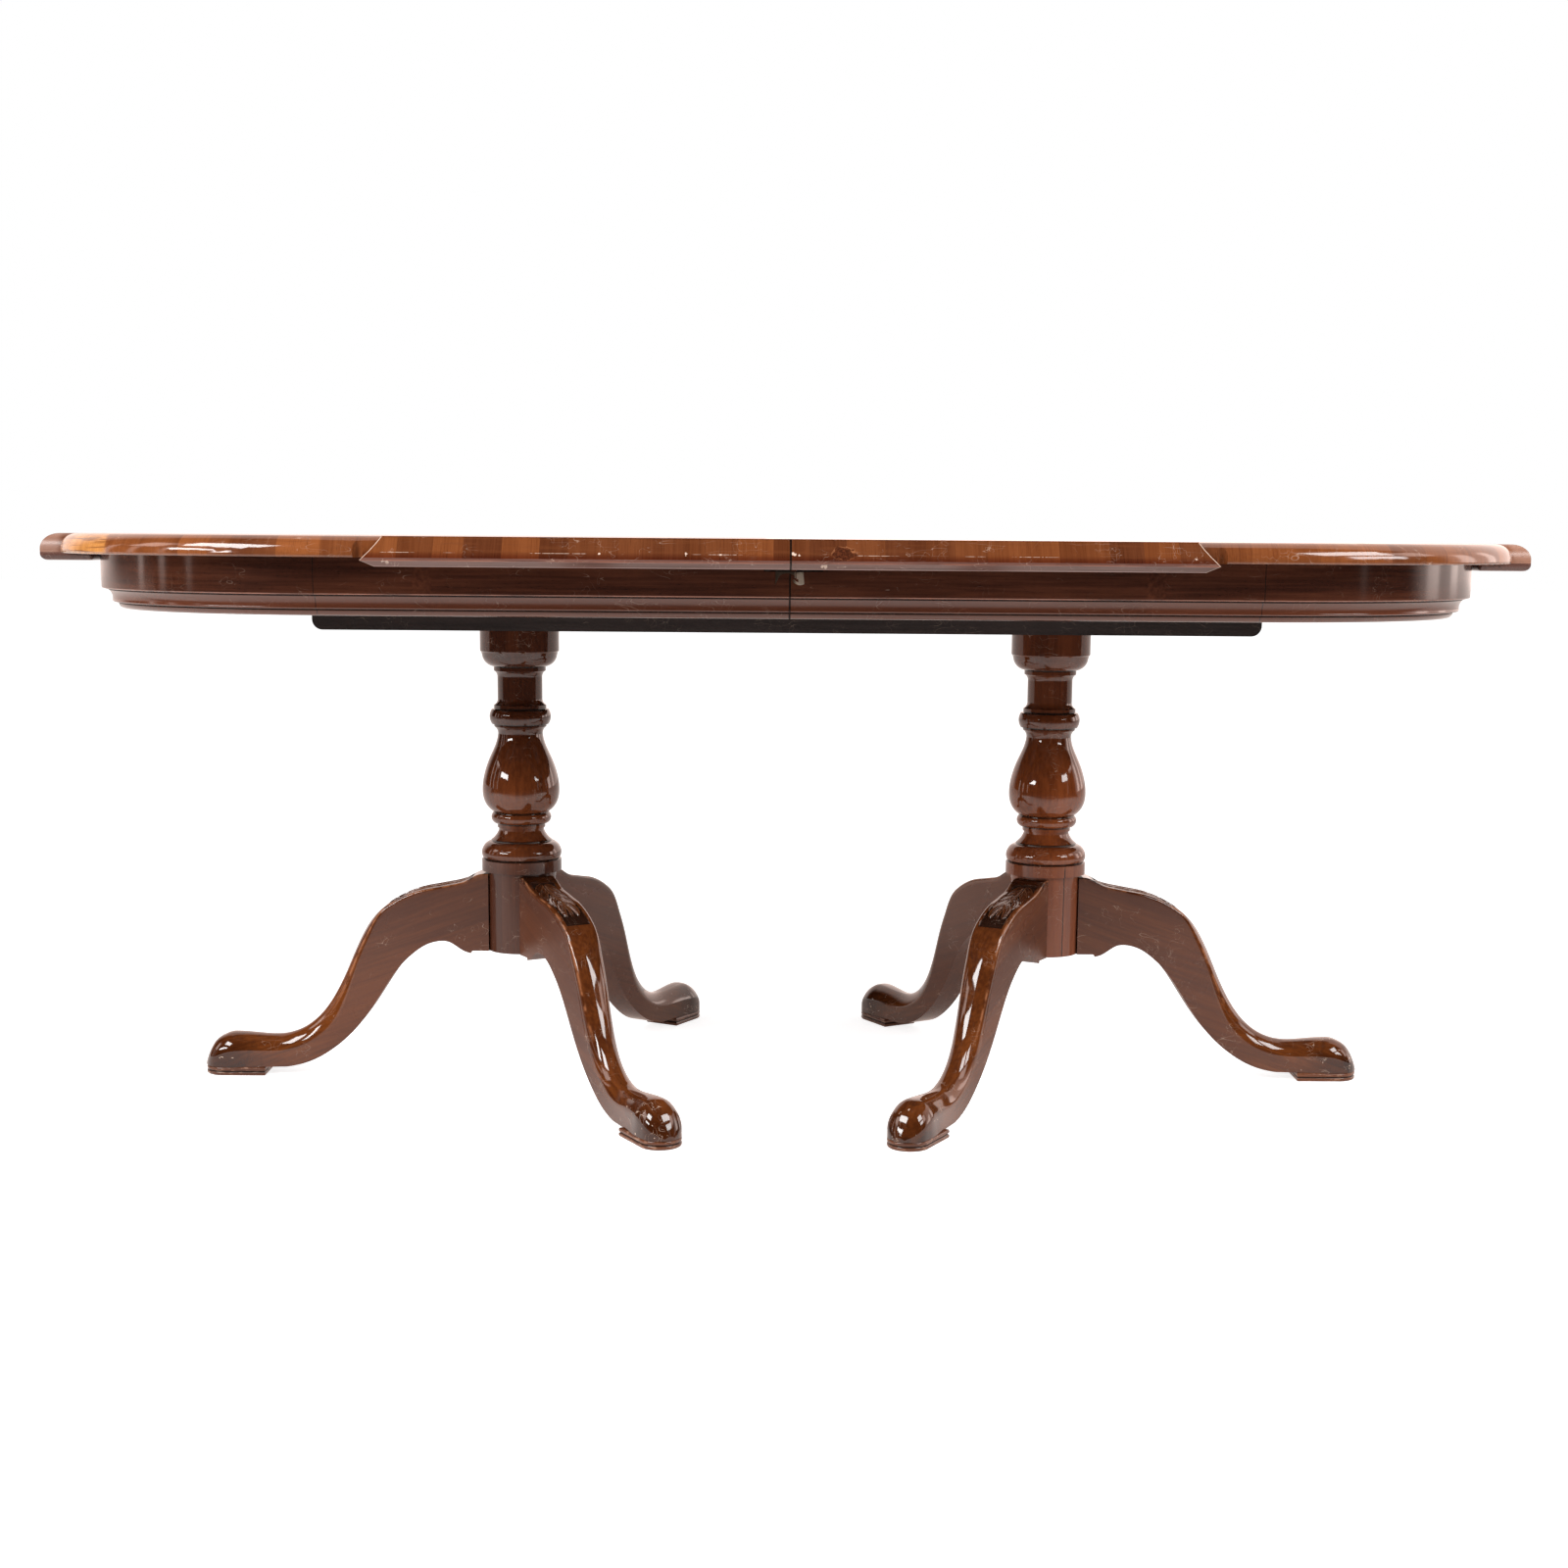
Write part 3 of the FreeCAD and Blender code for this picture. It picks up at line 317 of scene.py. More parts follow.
# The knot beside the seam: a dark whorl with a pale rim in the front slope
knot_x, knot_z, knot_radius, knot_squash = 0.060, top_z - 0.0155, 0.0080, 0.56
knot_across = times(tree, calc(tree, "SUBTRACT", x, knot_x), knot_squash)
knot_far = distance(tree, knot_across, calc(tree, "SUBTRACT", z, knot_z))
ragged = calc(tree, "SUBTRACT", cloudy(tree, place, (150.0, 150.0, 150.0), 3.0), 0.5)
knot_edge = calc(tree, "MULTIPLY_ADD", ragged, 0.011, knot_far)
knot = times(tree, fade(tree, knot_edge, knot_radius, 0.8 * knot_radius), front)
knot_rim = near(tree, knot_edge, knot_radius, 0.0007, 0.0)
knot_rim = times(tree, times(tree, knot_rim, front), fade(tree, ragged, -0.10, 0.12))
whorl = fade(tree, cloudy(tree, place, crumbs, 3.0), 0.40, 0.65)
knot_colour = tinted(tree, whorl, (0.030, 0.008, 0.004, 1.0), (0.100, 0.027, 0.011, 1.0))
colour = tinted(tree, times(tree, knot, 0.85), colour, knot_colour)
colour = tinted(tree, times(tree, knot_rim, 0.5), colour, (0.40, 0.16, 0.07, 1.0))

# Chips and scuffs: bare wood where the polish has gone, and a painted glint along the mitre arris
chips = spots(tree, x, z, top_z, wavering(tree, place, crumbs, 0.006), (
    (0.0026, 0.0165, 0.0021), (0.0052, 0.0173, 0.0012), (0.0094, 0.0176, 0.0008),
    (-0.0790, 0.0178, 0.0015), (-0.1180, 0.0178, 0.0015), (-0.2150, 0.0180, 0.0013),
    (0.4560, 0.0190, 0.0011),
))
scuff_drop, scuff_width = 0.0180, 0.0004
scuff = near(tree, z, top_z - scuff_drop, scuff_width, 0.4 * scuff_width)
scuff = times(tree, scuff, fade(tree, cloudy(tree, place, (17.0, 3.0, 3.0)), 0.55, 0.60))
scuff = times(tree, scuff, fade(tree, cloudy(tree, place, (330.0, 3.0, 3.0)), 0.38, 0.55))
on_slope = times(tree, calc(tree, "LESS_THAN", far_x, middle_half), front)
chips = times(tree, calc(tree, "MAXIMUM", chips, times(tree, scuff, 0.65)), on_slope)
chips = calc(tree, "MAXIMUM", chips, times(tree, mitre_glint_and_wear(tree, far_x, y), 0.85))
colour = tinted(tree, chips, colour, bare_wood)
# Painted highlight: the far ends of the top are painted a pale pink.
painted_end_highlight = fade(tree, far_x, *end_highlight_side)
colour = tinted(tree, times(tree, painted_end_highlight, 0.4), colour, (0.42, 0.24, 0.18, 1.0))
colour = tinted(tree, fade(tree, far_x, seam_clear, seam_dark), colour, dirt_and_shade)

# The polish: duller in the nooks between the lobes and the ends, and gone at the chips
nook = fade(tree, far_x, *nook_side)
bloom = scratched(tree, shader, place, colour, 0.25)
gloss = calc(tree, "MULTIPLY_ADD", bloom, 0.08, 0.06)
gloss = calc(tree, "MULTIPLY_ADD", nook, 0.25, gloss)
tree.links.new(calc(tree, "MULTIPLY_ADD", chips, 0.4, gloss), shader.inputs["Coat Roughness"])
bumped(tree, shader, calc(tree, "SUBTRACT", times(tree, block["Height"], 0.012), chips), 0.0003)
dress("top_", top_finish)

# The strips glued under the straight parts of the edge. They are mahogany run with the grain along
# them, moulded to a nosing whose undercut shows grey where it mirrors the floor.


def edge_wood(tree, place, seed, dark, light):
    """Mahogany with its grain along the table's edge, shifted by the seed on the right half."""
    x, _, z = split(tree, place)
    band = placed(tree, banding, {"Place": place})
    grain_z = calc(tree, "ADD", z, above_zero(tree, x, seed))
    grain = joined(tree, band["Along"], band["Inset"], grain_z)
    return placed(tree, mahogany, {"Place": grain, "Dark": dark, "Light": light, "Pore Depth": 0.5})


strip_dark, strip_light = (0.060, 0.024, 0.018, 1.0), (0.135, 0.060, 0.045, 1.0)
strip_finish, tree, shader, place = new_material("mahogany edge strip", 0.45, 0.1, 1.0)
x, y, z = split(tree, place)
far_x = calc(tree, "ABSOLUTE", x)
wood = edge_wood(tree, place, 2.1, strip_dark, strip_light)
arris_drop = 0.0029
arris = near(tree, z, under_z - arris_drop, 0.0012, 0.0004)
arris = times(tree, arris, fade(tree, cloudy(tree, place, (16.0, 16.0, 90.0), 3.0), 0.38, 0.62))
colour = tinted(tree, times(tree, arris, 0.6), wood["Color"], (0.28, 0.10, 0.06, 1.0))
# Painted reflection: the lowest edge of the nosing is painted paler, as a reflection of the floor.
bottom_floor_reflection = fade(tree, z, under_z - 0.0090, under_z - 0.0096)
colour = tinted(tree, times(tree, bottom_floor_reflection, 0.5), colour, (0.45, 0.28, 0.24, 1.0))
pecks = spots(tree, x, z, under_z, wavering(tree, place, crumbs, 0.005), (
    (0.0390, 0.0062, 0.0024), (0.0355, 0.0062, 0.0020),
    (-0.4530, 0.0046, 0.0019), (-0.4570, 0.0036, 0.0014),
))
pecks = times(tree, pecks, calc(tree, "LESS_THAN", y, 0.0))
# The mitre arris, worn bare and with a painted glint along it.
pecks = calc(tree, "MAXIMUM", pecks, times(tree, mitre_glint_and_wear(tree, far_x, y), 0.8))
colour = tinted(tree, times(tree, pecks, 0.7), colour, bare_wood)
seam = fade(tree, far_x, seam_clear, seam_dark)
bloom = scratched(tree, shader, place, tinted(tree, seam, colour, dirt_and_shade), 0.4)
tree.links.new(calc(tree, "MULTIPLY_ADD", bloom, 0.14, 0.10), shader.inputs["Coat Roughness"])
tree.links.new(calc(tree, "MULTIPLY_ADD", seam, -0.5, 0.6), shader.inputs["Coat Weight"])
bumped(tree, shader, calc(tree, "SUBTRACT", times(tree, wood["Height"], 0.04), pecks), 0.0003)
dress("edge_strip", strip_finish)

# The apron: moulded mahogany rails and bent corner pieces, stained darker than the top. The grain
# runs along each piece and round the bends, and the quirks of the moulding are painted dark as shade.

apron_dark, apron_light = (0.034, 0.010, 0.0055, 1.0), (0.092, 0.028, 0.0135, 1.0)
quirk_drops, quirk_reach = (0.0445, 0.0612), 0.0015
apron_finish, tree, shader, place = new_material("dark mahogany apron", 0.45, 0.0, 1.0)
x, y, z = split(tree, place)
far_x = calc(tree, "ABSOLUTE", x)
wood = edge_wood(tree, place, 1.7, apron_dark, apron_light)
# The dark seam, and painted shade along the quirks of the moulding.
painted_shade_lines = fade(tree, far_x, seam_clear, seam_dark)
for drop in quirk_drops:
    quirk_shade = near(tree, z, under_z - drop, quirk_reach, 0.3 * quirk_reach)
    painted_shade_lines = calc(tree, "MAXIMUM", quirk_shade, painted_shade_lines)
bead_drop, bead_half = 0.0427, 0.0008
# Painted highlight: a paler reddish line along the bead.
bead_highlight = near(tree, z, under_z - bead_drop, bead_half, 0.5 * bead_half)
bead_highlight = times(tree, bead_highlight, fade(tree, cloudy(tree, place, (12.0, 12.0, 5.0), 3.0), 0.30, 0.58))
colour = tinted(tree, times(tree, bead_highlight, 0.70), wood["Color"], (0.34, 0.13, 0.08, 1.0))
warm_low = fade(tree, z, under_z - 0.0440, under_z - 0.0460)
colour = tinted(tree, times(tree, warm_low, 0.5), colour, (0.125, 0.036, 0.018, 1.0))
joint = near(tree, far_x, corner_x, 0.0007, 0.0003)
joint = times(tree, joint, calc(tree, "GREATER_THAN", calc(tree, "ABSOLUTE", y), corner_y))
colour = tinted(tree, times(tree, joint, 0.8), colour, dirt_and_shade)
colour = tinted(tree, times(tree, painted_shade_lines, 0.9), colour, dirt_and_shade)
tree.links.new(calc(tree, "MULTIPLY_ADD", painted_shade_lines, -0.8, 1.0), shader.inputs["Coat Weight"])
bloom = scratched(tree, shader, place, colour, 0.12)
tree.links.new(calc(tree, "MULTIPLY_ADD", bloom, 0.14, 0.05), shader.inputs["Coat Roughness"])
bumped(tree, shader, times(tree, wood["Height"], 0.04), 0.0003)
dress("apron", apron_finish)

# Under the top: pine glue blocks, the bearers that carry the columns, the telescoping slides and the
# pins of the seam. They are plain planed wood, stained almost black where they show and dry elsewhere.


def plain_wood(name, dark, light, roughness):
    made, tree, shader, place = new_material(name, roughness, 0.3, 0.0)
    wood = placed(tree, mahogany, {"Place": place, "Dark": dark, "Light": light, "Pore Depth": 0.4})
    bloom = scratched(tree, shader, place, wood["Color"], 0.2)
    tree.links.new(calc(tree, "MULTIPLY_ADD", bloom, 0.2, roughness), shader.inputs["Roughness"])
    bumped(tree, shader, wood["Height"], 0.0003)
    return made


slide_dark, slide_light = (0.016, 0.010, 0.009, 1.0), (0.034, 0.022, 0.019, 1.0)
slide_finish = plain_wood("stained slide wood", slide_dark, slide_light, 0.40)
bearer_finish = plain_wood("dry bearer wood", (0.060, 0.026, 0.014, 1.0), (0.130, 0.062, 0.034, 1.0), 0.55)
block_finish = plain_wood("glue block pine", (0.330, 0.190, 0.090, 1.0), (0.520, 0.340, 0.180, 1.0), 0.60)
dress("slide", slide_finish)
dress("pedestal_bearer", bearer_finish)
dress(("glue_blocks", "seam_pins"), block_finish)

# The two turned columns. Each is one billet of mahogany, turned between centres with its grain
# upright, and polished; the right one has dried and split down the front of its drum.

pedestal_x, drum_top_z, collar_z, crack_x = 0.368, 0.294, 0.334, 0.3890
turned_dark, turned_light = (0.080, 0.019, 0.006, 1.0), (0.165, 0.042, 0.012, 1.0)
shade_line_places, shade_line_half = (0.3112, 0.3364, 0.3600, 0.3755, 0.4984, 0.5196, 0.5784), 0.0022
column_finish, tree, shader, place = new_material("turned mahogany", 0.45, 0.0, 1.0)
x, y, z = split(tree, place)
grain = joined(tree, z, x, calc(tree, "ADD", y, above_zero(tree, x, 1.3)))
wood = placed(tree, mahogany, {
    "Place": grain, "Dark": turned_dark, "Light": turned_light, "Pore Depth": 0.5,
})
wander = wavering(tree, place, (3.0, 3.0, 28.0), 0.0022, 3.0)
crack = near(tree, calc(tree, "ADD", x, wander), crack_x, 0.0011, 0.0005)
crack = times(tree, crack, fade(tree, z, 0.312, 0.302))
crack = times(tree, crack, calc(tree, "LESS_THAN", y, 0.0))
drum_dull = fade(tree, z, collar_z, drum_top_z)
colour = tinted(tree, times(tree, drum_dull, 0.25), wood["Color"], (0.16, 0.070, 0.050, 1.0))
drum_left = times(tree, drum_dull, calc(tree, "LESS_THAN", x, 0.0))
colour = tinted(tree, drum_left, colour, (0.50, 0.50, 0.52, 1.0), "MULTIPLY")
colour = tinted(tree, calc(tree, "GREATER_THAN", x, 0.0), colour, (1.30, 1.25, 1.20, 1.0), "MULTIPLY")
# Painted shade: the upper part of the column, towards the collar, is darkened where the top shades it.
colour = tinted(tree, fade(tree, z, 0.41, 0.50), colour, (0.50, 0.50, 0.60, 1.0), "MULTIPLY")
# Painted shade: dark lines under the rings of the turning.
for shade_line_z in shade_line_places:
    painted_shade_lines = near(tree, z, shade_line_z, shade_line_half, 0.3 * shade_line_half)
    colour = tinted(tree, times(tree, painted_shade_lines, 0.85), colour, dirt_and_shade)
colour = tinted(tree, times(tree, crack, 0.9), colour, dirt_and_shade)
bloom = scratched(tree, shader, place, colour, 0.25)
dull = calc(tree, "MULTIPLY_ADD", drum_dull, 0.08, calc(tree, "MULTIPLY_ADD", bloom, 0.06, 0.02))
tree.links.new(calc(tree, "MULTIPLY_ADD", drum_dull, -0.35, 1.0), shader.inputs["Coat Weight"])
tree.links.new(dull, shader.inputs["Coat Roughness"])
bumped(tree, shader, calc(tree, "SUBTRACT", times(tree, wood["Height"], 0.008), crack), 0.0004)
dress("column", column_finish)

# The six cabriole legs. Each is sawn from a thick mahogany plank, rounded over towards the foot,
# and carved on the knee with an acanthus leaf in a sunk panel, before it is dovetailed to the drum.

leg_reach, leg_width, foot_z, drum_z = 0.450, 0.048, 0.012, 0.181
plate_reach, leg_start = 0.0701, 0.0445
panel_start, panel_end, panel_half, panel_depth, panel_wall = 0.068, 0.188, 0.0178, 0.0026, 0.0009
leaf_stretch, leaf_lead, crown_drop = 0.8, 3.0, 0.0075
knee_end, toe_length, knee_step, shank_step = 0.185, 0.020, 0.0008, 0.0035
station_shares = (
    (0.080, 0.986, 0.080, 0.580, 1.00, 0.08),
    (0.129, 0.983, 0.129, 0.580, 1.00, 0.08),
    (0.178, 0.946, 0.171, 0.594, 1.00, 0.10),
    (0.251, 0.920, 0.229, 0.646, 1.00, 0.13),
    (0.324, 0.896, 0.289, 0.634, 1.00, 0.17),
    (0.400, 0.844, 0.338, 0.583, 0.98, 0.22),
    (0.460, 0.771, 0.380, 0.517, 0.95, 0.27),
    (0.513, 0.625, 0.422, 0.420, 0.90, 0.32),
    (0.564, 0.438, 0.471, 0.299, 0.85, 0.35),
    (0.622, 0.281, 0.529, 0.181, 0.81, 0.36),
    (0.678, 0.198, 0.591, 0.094, 0.80, 0.36),
    (0.738, 0.158, 0.667, 0.023, 0.83, 0.36),
    (0.802, 0.153, 0.767, -0.006, 0.92, 0.36),
    (0.878, 0.163, 0.856, -0.006, 1.06, 0.38),
    (0.933, 0.156, 0.927, -0.006, 1.15, 0.42),
    (0.971, 0.115, 0.971, -0.006, 0.98, 0.38),
    (0.991, 0.058, 0.991, -0.006, 0.60, 0.24),
    (1.000, 0.021, 1.000, -0.006, 0.26, 0.10),
)


def flow(rows, places, wanted):
    """Smooth way through rows of numbers that stand at the given places."""
    slopes = np.gradient(rows, places, axis=0)
    index = np.clip(np.searchsorted(places, wanted) - 1, 0, len(places) - 2)
    gap = (places[index + 1] - places[index])[:, None]
    t = (wanted - places[index])[:, None] / gap
    first, last = rows[index], rows[index + 1]
    return (
        (2 * t**3 - 3 * t**2 + 1) * first + (t**3 - 2 * t**2 + t) * gap * slopes[index]
        + (3 * t**2 - 2 * t**3) * last + (t**3 - t**2) * gap * slopes[index + 1]
    )


def eased(value, start, end):
    t = np.clip((value - start) / (end - start), 0, 1)
    return t * t * (3 - 2 * t)


def faired(rows, wanted):
    """The rows with small waves taken out, except near the drum and the toe."""
    from_toe = wanted[-1] - wanted
    reach = 0.0002 + 0.013 * eased(wanted, 0.06, 0.14) * eased(from_toe, 0.045, 0.085)
    spread = np.gradient(wanted)
    weights = np.exp(-0.5 * ((wanted[None, :] - wanted[:, None]) / reach[:, None]) ** 2) * spread[None, :]
    return weights @ rows / weights.sum(axis=1, keepdims=True)


# Leaflets of the acanthus on one side of its stem: root and tip along and across, then half width, in mm
leaflets = (
    (0.0, 2.5, 21.0, 15.5, 5.2), (14.0, 2.2, 41.0, 15.5, 5.6), (34.0, 2.0, 62.0, 14.5, 5.8),
    (52.0, 1.8, 82.0, 9.5, 6.0), (6.0, 1.6, 26.0, 7.0, 2.0), (26.0, 1.5, 46.0, 7.5, 2.2),
    (46.0, 1.4, 64.0, 6.0, 2.2),
)


def acanthus(along, across):
    """Height of the leaf above the panel's ground, as a share of the panel's depth."""
    relief = np.zeros_like(along)
    side = np.abs(across)
    for root_s, root_t, tip_s, tip_t, half in leaflets:
        length = math.hypot(tip_s - root_s, tip_t - root_t)
        way_s, way_t = (tip_s - root_s) / length, (tip_t - root_t) / length
        u = ((along - root_s) * way_s + (side - root_t) * way_t) / length
        bow = 0.10 * length * np.sin(math.pi * np.clip(u, 0, 1))
        v = (side - root_t) * way_s - (along - root_s) * way_t - bow
        width = half * np.sqrt(np.clip(np.sin(math.pi * np.clip(u, 0, 1) ** 0.75), 0, 1))
        out = np.abs(v) / np.maximum(width, 0.05)
        inside = (u > 0) & (u < 1)
        rim = 1 - eased(out, 0.80, 1.0)
        scoop = 0.55 + 0.50 * np.clip(out, 0, 1) ** 2 + 0.22 * np.exp(-((v / 0.45) ** 2))
        relief = np.maximum(relief, np.where(inside, rim * scoop, 0))
    stem = np.exp(-(((side - 1.3) / 0.7) ** 2)) * (1 - eased(along, 74.0, 86.0)) * eased(along, 0.0, 2.0)
    return np.maximum(relief, 1.05 * stem)


def leg_rings():
    """Points of the leg, ring by ring from the drum to the toe, with its carving, and at each point its
    wear, sawn sides, the painted shade of the carved ground and the painted highlight on the leaf ridges.
    """
    stations = np.array(station_shares)
    rise = drum_top_z - foot_z
    middle_line = (stations[:, 0:2] + stations[:, 2:4]) / 2 * (leg_reach, rise)
    steps = np.hypot(*np.diff(middle_line, axis=0).T)
    places = np.concatenate(([0.0], np.cumsum(steps)))
    knee = np.arange(places[0], knee_end, knee_step)
    shank = np.arange(knee_end, places[-1] - toe_length, shank_step)
    toe = np.linspace(places[-1] - toe_length, places[-1], 16)
    wanted = np.concatenate((knee, shank, toe))
    rows = faired(flow(stations, places, wanted), wanted)
    outer = np.column_stack((rows[:, 0] * leg_reach, foot_z + rows[:, 1] * rise))
    inner = np.column_stack((rows[:, 2] * leg_reach, foot_z + rows[:, 3] * rise))
    keep = outer[:, 0] > leg_start
    rows, outer, inner = rows[keep], outer[keep], inner[keep]
    travel = np.concatenate(([0.0], np.cumsum(np.hypot(*np.diff(outer, axis=0).T))))
    start_s = np.interp(panel_start, outer[:, 0], travel)
    end_s = np.interp(panel_end, outer[:, 0], travel)
    base_count, side_count, arc_count, face_count = 8, 16, 8, 56
    points, found = [], {"leg_wear": [], "leg_depth": [], "leg_ridge": [], "leg_sawn": []}
    for row, top, foot, s in zip(rows, outer, inner, travel):
        up = top - foot
        tall = np.hypot(*up)
        up = up / tall
        crisp = 0.45 + 0.55 * eased(s, 0.22, 0.36)
        half, corner = row[4] * leg_width / 2, min(crisp * row[5] * leg_width, tall * 0.98)
        corner_in = 0.3 * corner
        base = np.linspace(-half, half, base_count, endpoint=False)
        flank = np.linspace(0, tall - corner, side_count, endpoint=False)
        turn = np.linspace(0, math.pi / 2, arc_count, endpoint=False)
        face = np.linspace(half - corner, corner - half, face_count, endpoint=False)
        across = np.concatenate((
            base, np.full(side_count, half), half - corner + corner * np.cos(turn), face,
            -(half - corner) - corner * np.sin(turn), np.full(side_count, -half),
        ))
        high = np.concatenate((
            np.zeros(base_count), flank, tall - corner + corner * np.sin(turn), np.full(face_count, tall),
            tall - corner + corner * np.cos(turn), np.flip(flank) + (tall - corner) / side_count,
        ))
        on_face = high > tall - corner_in - 0.0001
        border = np.minimum(np.minimum(s - start_s, end_s - s), panel_half - np.abs(across))
        sunk = np.where(on_face, eased(border, 0.0, panel_wall), 0.0)
        leaf_way = np.full_like(across, 1000.0 * leaf_stretch * (s - start_s) - leaf_lead)
        leaf = acanthus(leaf_way, across * 1000)
        sink = sunk * panel_depth * (1 - np.clip(leaf, 0, 1.1))
        crown = min(crown_drop, 0.2 * tall) * eased(s, end_s, end_s + 0.05) * (across / half) ** 2
        high = (high - sink) * (1 - crown / tall)
        ring = np.column_stack((foot[0] + up[0] * high, across, foot[1] + up[1] * high))
        low = np.where(ring[:, 0] < plate_reach, drum_z, foot_z + 0.0001)
        ring[:, 2] = np.maximum(ring[:, 2], low)
        points.append(ring)
        corner_far = np.abs(np.abs(across) - half + corner_in) + np.abs(high + crown - tall + corner_in)
        found["leg_wear"].append(np.exp(-((corner_far / 0.0016) ** 2)) * (1 - eased(s, 0.26, 0.34)))
        found["leg_depth"].append(sunk * (1 - np.clip(leaf, 0, 1)))
        found["leg_ridge"].append(sunk * eased(leaf, 0.70, 0.92))
        flat_side = np.zeros_like(across)
        flat_side[:base_count + side_count] = 1
        flat_side[-side_count:] = 1
        found["leg_sawn"].append(flat_side * (1 - eased(s, 0.34, 0.42)))
    return np.array(points), {label: np.array(values) for label, values in found.items()}


leg_points, leg_marks = leg_rings()
ring_count, around = leg_points.shape[:2]


def cabriole_leg(name, angle, side, body):
    """One leg, turned about its column, and mirrored for the left half."""
    flat = leg_points.reshape(-1, 3)
    turn = math.radians(angle)
    spun = np.column_stack((
        pedestal_x + flat[:, 0] * math.cos(turn) - flat[:, 1] * math.sin(turn),
        flat[:, 0] * math.sin(turn) + flat[:, 1] * math.cos(turn), flat[:, 2],
    ))
    spun[:, 0] *= side
    first, last = spun[:around].mean(axis=0), spun[-around:].mean(axis=0)
    points = np.vstack((spun, first, last))
    head, tip = len(spun), len(spun) + 1
    faces = []
    for ring in range(ring_count - 1):
        for index in range(around):
            after = (index + 1) % around
            low, high = ring * around, (ring + 1) * around
            faces.append((low + index, high + index, high + after, low + after))
    end = (ring_count - 1) * around
    for index in range(around):
        after = (index + 1) % around
        faces.append((head, index, after))
        faces.append((tip, end + after, end + index))
    if side > 0:
        faces = [face[::-1] for face in faces]
    mesh = bpy.data.meshes.new(name)
    mesh.from_pydata(points.tolist(), [], faces)
    mesh.shade_smooth()
    mesh.set_sharp_from_angle(angle=math.radians(38))
    own = np.vstack((flat, flat[:around].mean(axis=0), flat[-around:].mean(axis=0)))
    own[:, 1] += 0.37 * angle / 120 + (0.0 if side > 0 else 1.9)
    place = mesh.attributes.new("leg_place", "FLOAT_VECTOR", "POINT")
    place.data.foreach_set("vector", own.astype(np.float32).ravel())
    for label, values in leg_marks.items():
        attribute = mesh.attributes.new(label, "FLOAT", "POINT")
        attribute.data.foreach_set("value", np.append(values.ravel(), (0.0, 0.0)).astype(np.float32))
    leg = bpy.data.objects.new(name, mesh)
    bpy.context.scene.collection.objects.link(leg)
    mesh.materials.append(leg_finish)
    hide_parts(name.replace("carved_", ""))
    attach(leg, body)


leg_dark, leg_light = (0.062, 0.015, 0.004, 1.0), (0.150, 0.040, 0.009, 1.0)
leg_finish, tree, shader, _ = new_material("carved mahogany leg", 0.45, 0.0, 1.0)
place = add_node(tree, "ShaderNodeAttribute", {"attribute_name": "leg_place"}, {}).outputs["Vector"]
wear, sunk, ridge, sawn = (
    add_node(tree, "ShaderNodeAttribute", {"attribute_name": label}, {}).outputs["Fac"]
    for label in ("leg_wear", "leg_depth", "leg_ridge", "leg_sawn")
)
r, v, z = split(tree, place)
grain_tilt = 0.35
grain_r = calc(tree, "MULTIPLY_ADD", z, -grain_tilt, r)
grain_z = calc(tree, "MULTIPLY_ADD", r, grain_tilt, z)
wood = placed(tree, mahogany, {
    "Place": joined(tree, grain_r, grain_z, v), "Dark": leg_dark, "Light": leg_light, "Pore Depth": 0.6,
})
colour = tinted(tree, times(tree, sawn, 0.45), wood["Color"], (0.095, 0.043, 0.031, 1.0))
neck_dark = times(tree, fade(tree, r, panel_start + 0.012, panel_start), calc(tree, "SUBTRACT", 1.0, sawn))
colour = tinted(tree, neck_dark, colour, (0.35, 0.35, 0.45, 1.0), "MULTIPLY")
# Painted shade: the sunk ground of the carved panel is darkened.
colour = tinted(tree, times(tree, sunk, 0.90), colour, (0.014, 0.006, 0.004, 1.0))
# Painted highlight on the raised leaf ridges, drawn as paler worn wood.
colour = tinted(tree, times(tree, ridge, 0.50), colour, (0.30, 0.130, 0.065, 1.0))
worn_line = times(tree, wear, fade(tree, cloudy(tree, place, (60.0, 60.0, 60.0), 3.0), 0.42, 0.58))
colour = tinted(tree, times(tree, worn_line, 0.75), colour, (0.42, 0.16, 0.07, 1.0))
low_down = times(tree, fade(tree, r, 0.33, 0.43), fade(tree, z, 0.13, 0.03))
bruise = times(tree, low_down, fade(tree, cloudy(tree, place, (38.0, 38.0, 38.0), 4.0, 1.0), 0.56, 0.64))
colour = tinted(tree, times(tree, bruise, 0.5), colour, (0.020, 0.008, 0.005, 1.0))
toe_dark = times(tree, fade(tree, z, 0.065, 0.025), fade(tree, r, 0.36, 0.41))
colour = tinted(tree, toe_dark, colour, (0.45, 0.42, 0.45, 1.0), "MULTIPLY")
worn = placed(tree, marks, {"Place": place, "Amount": calc(tree, "MULTIPLY_ADD", low_down, 0.6, 0.3)})
nick = times(tree, fade(tree, cloudy(tree, place, (130.0, 150.0, 170.0), 2.0), 0.70, 0.73), low_down)
colour = tinted(tree, calc(tree, "MAXIMUM", worn["Scratch"], nick), colour, bare_wood)
tree.links.new(colour, shader.inputs["Base Color"])
dull = calc(tree, "MULTIPLY_ADD", worn["Bloom"], 0.06, calc(tree, "MULTIPLY_ADD", sunk, 0.10, 0.03))
dull = calc(tree, "MULTIPLY_ADD", sawn, 0.22, dull)
tree.links.new(calc(tree, "MULTIPLY_ADD", sawn, -0.35, 1.0), shader.inputs["Coat Weight"])
tree.links.new(dull, shader.inputs["Coat Roughness"])
bumped(tree, shader, calc(tree, "SUBTRACT", times(tree, wood["Height"], 0.012), nick), 0.0003)

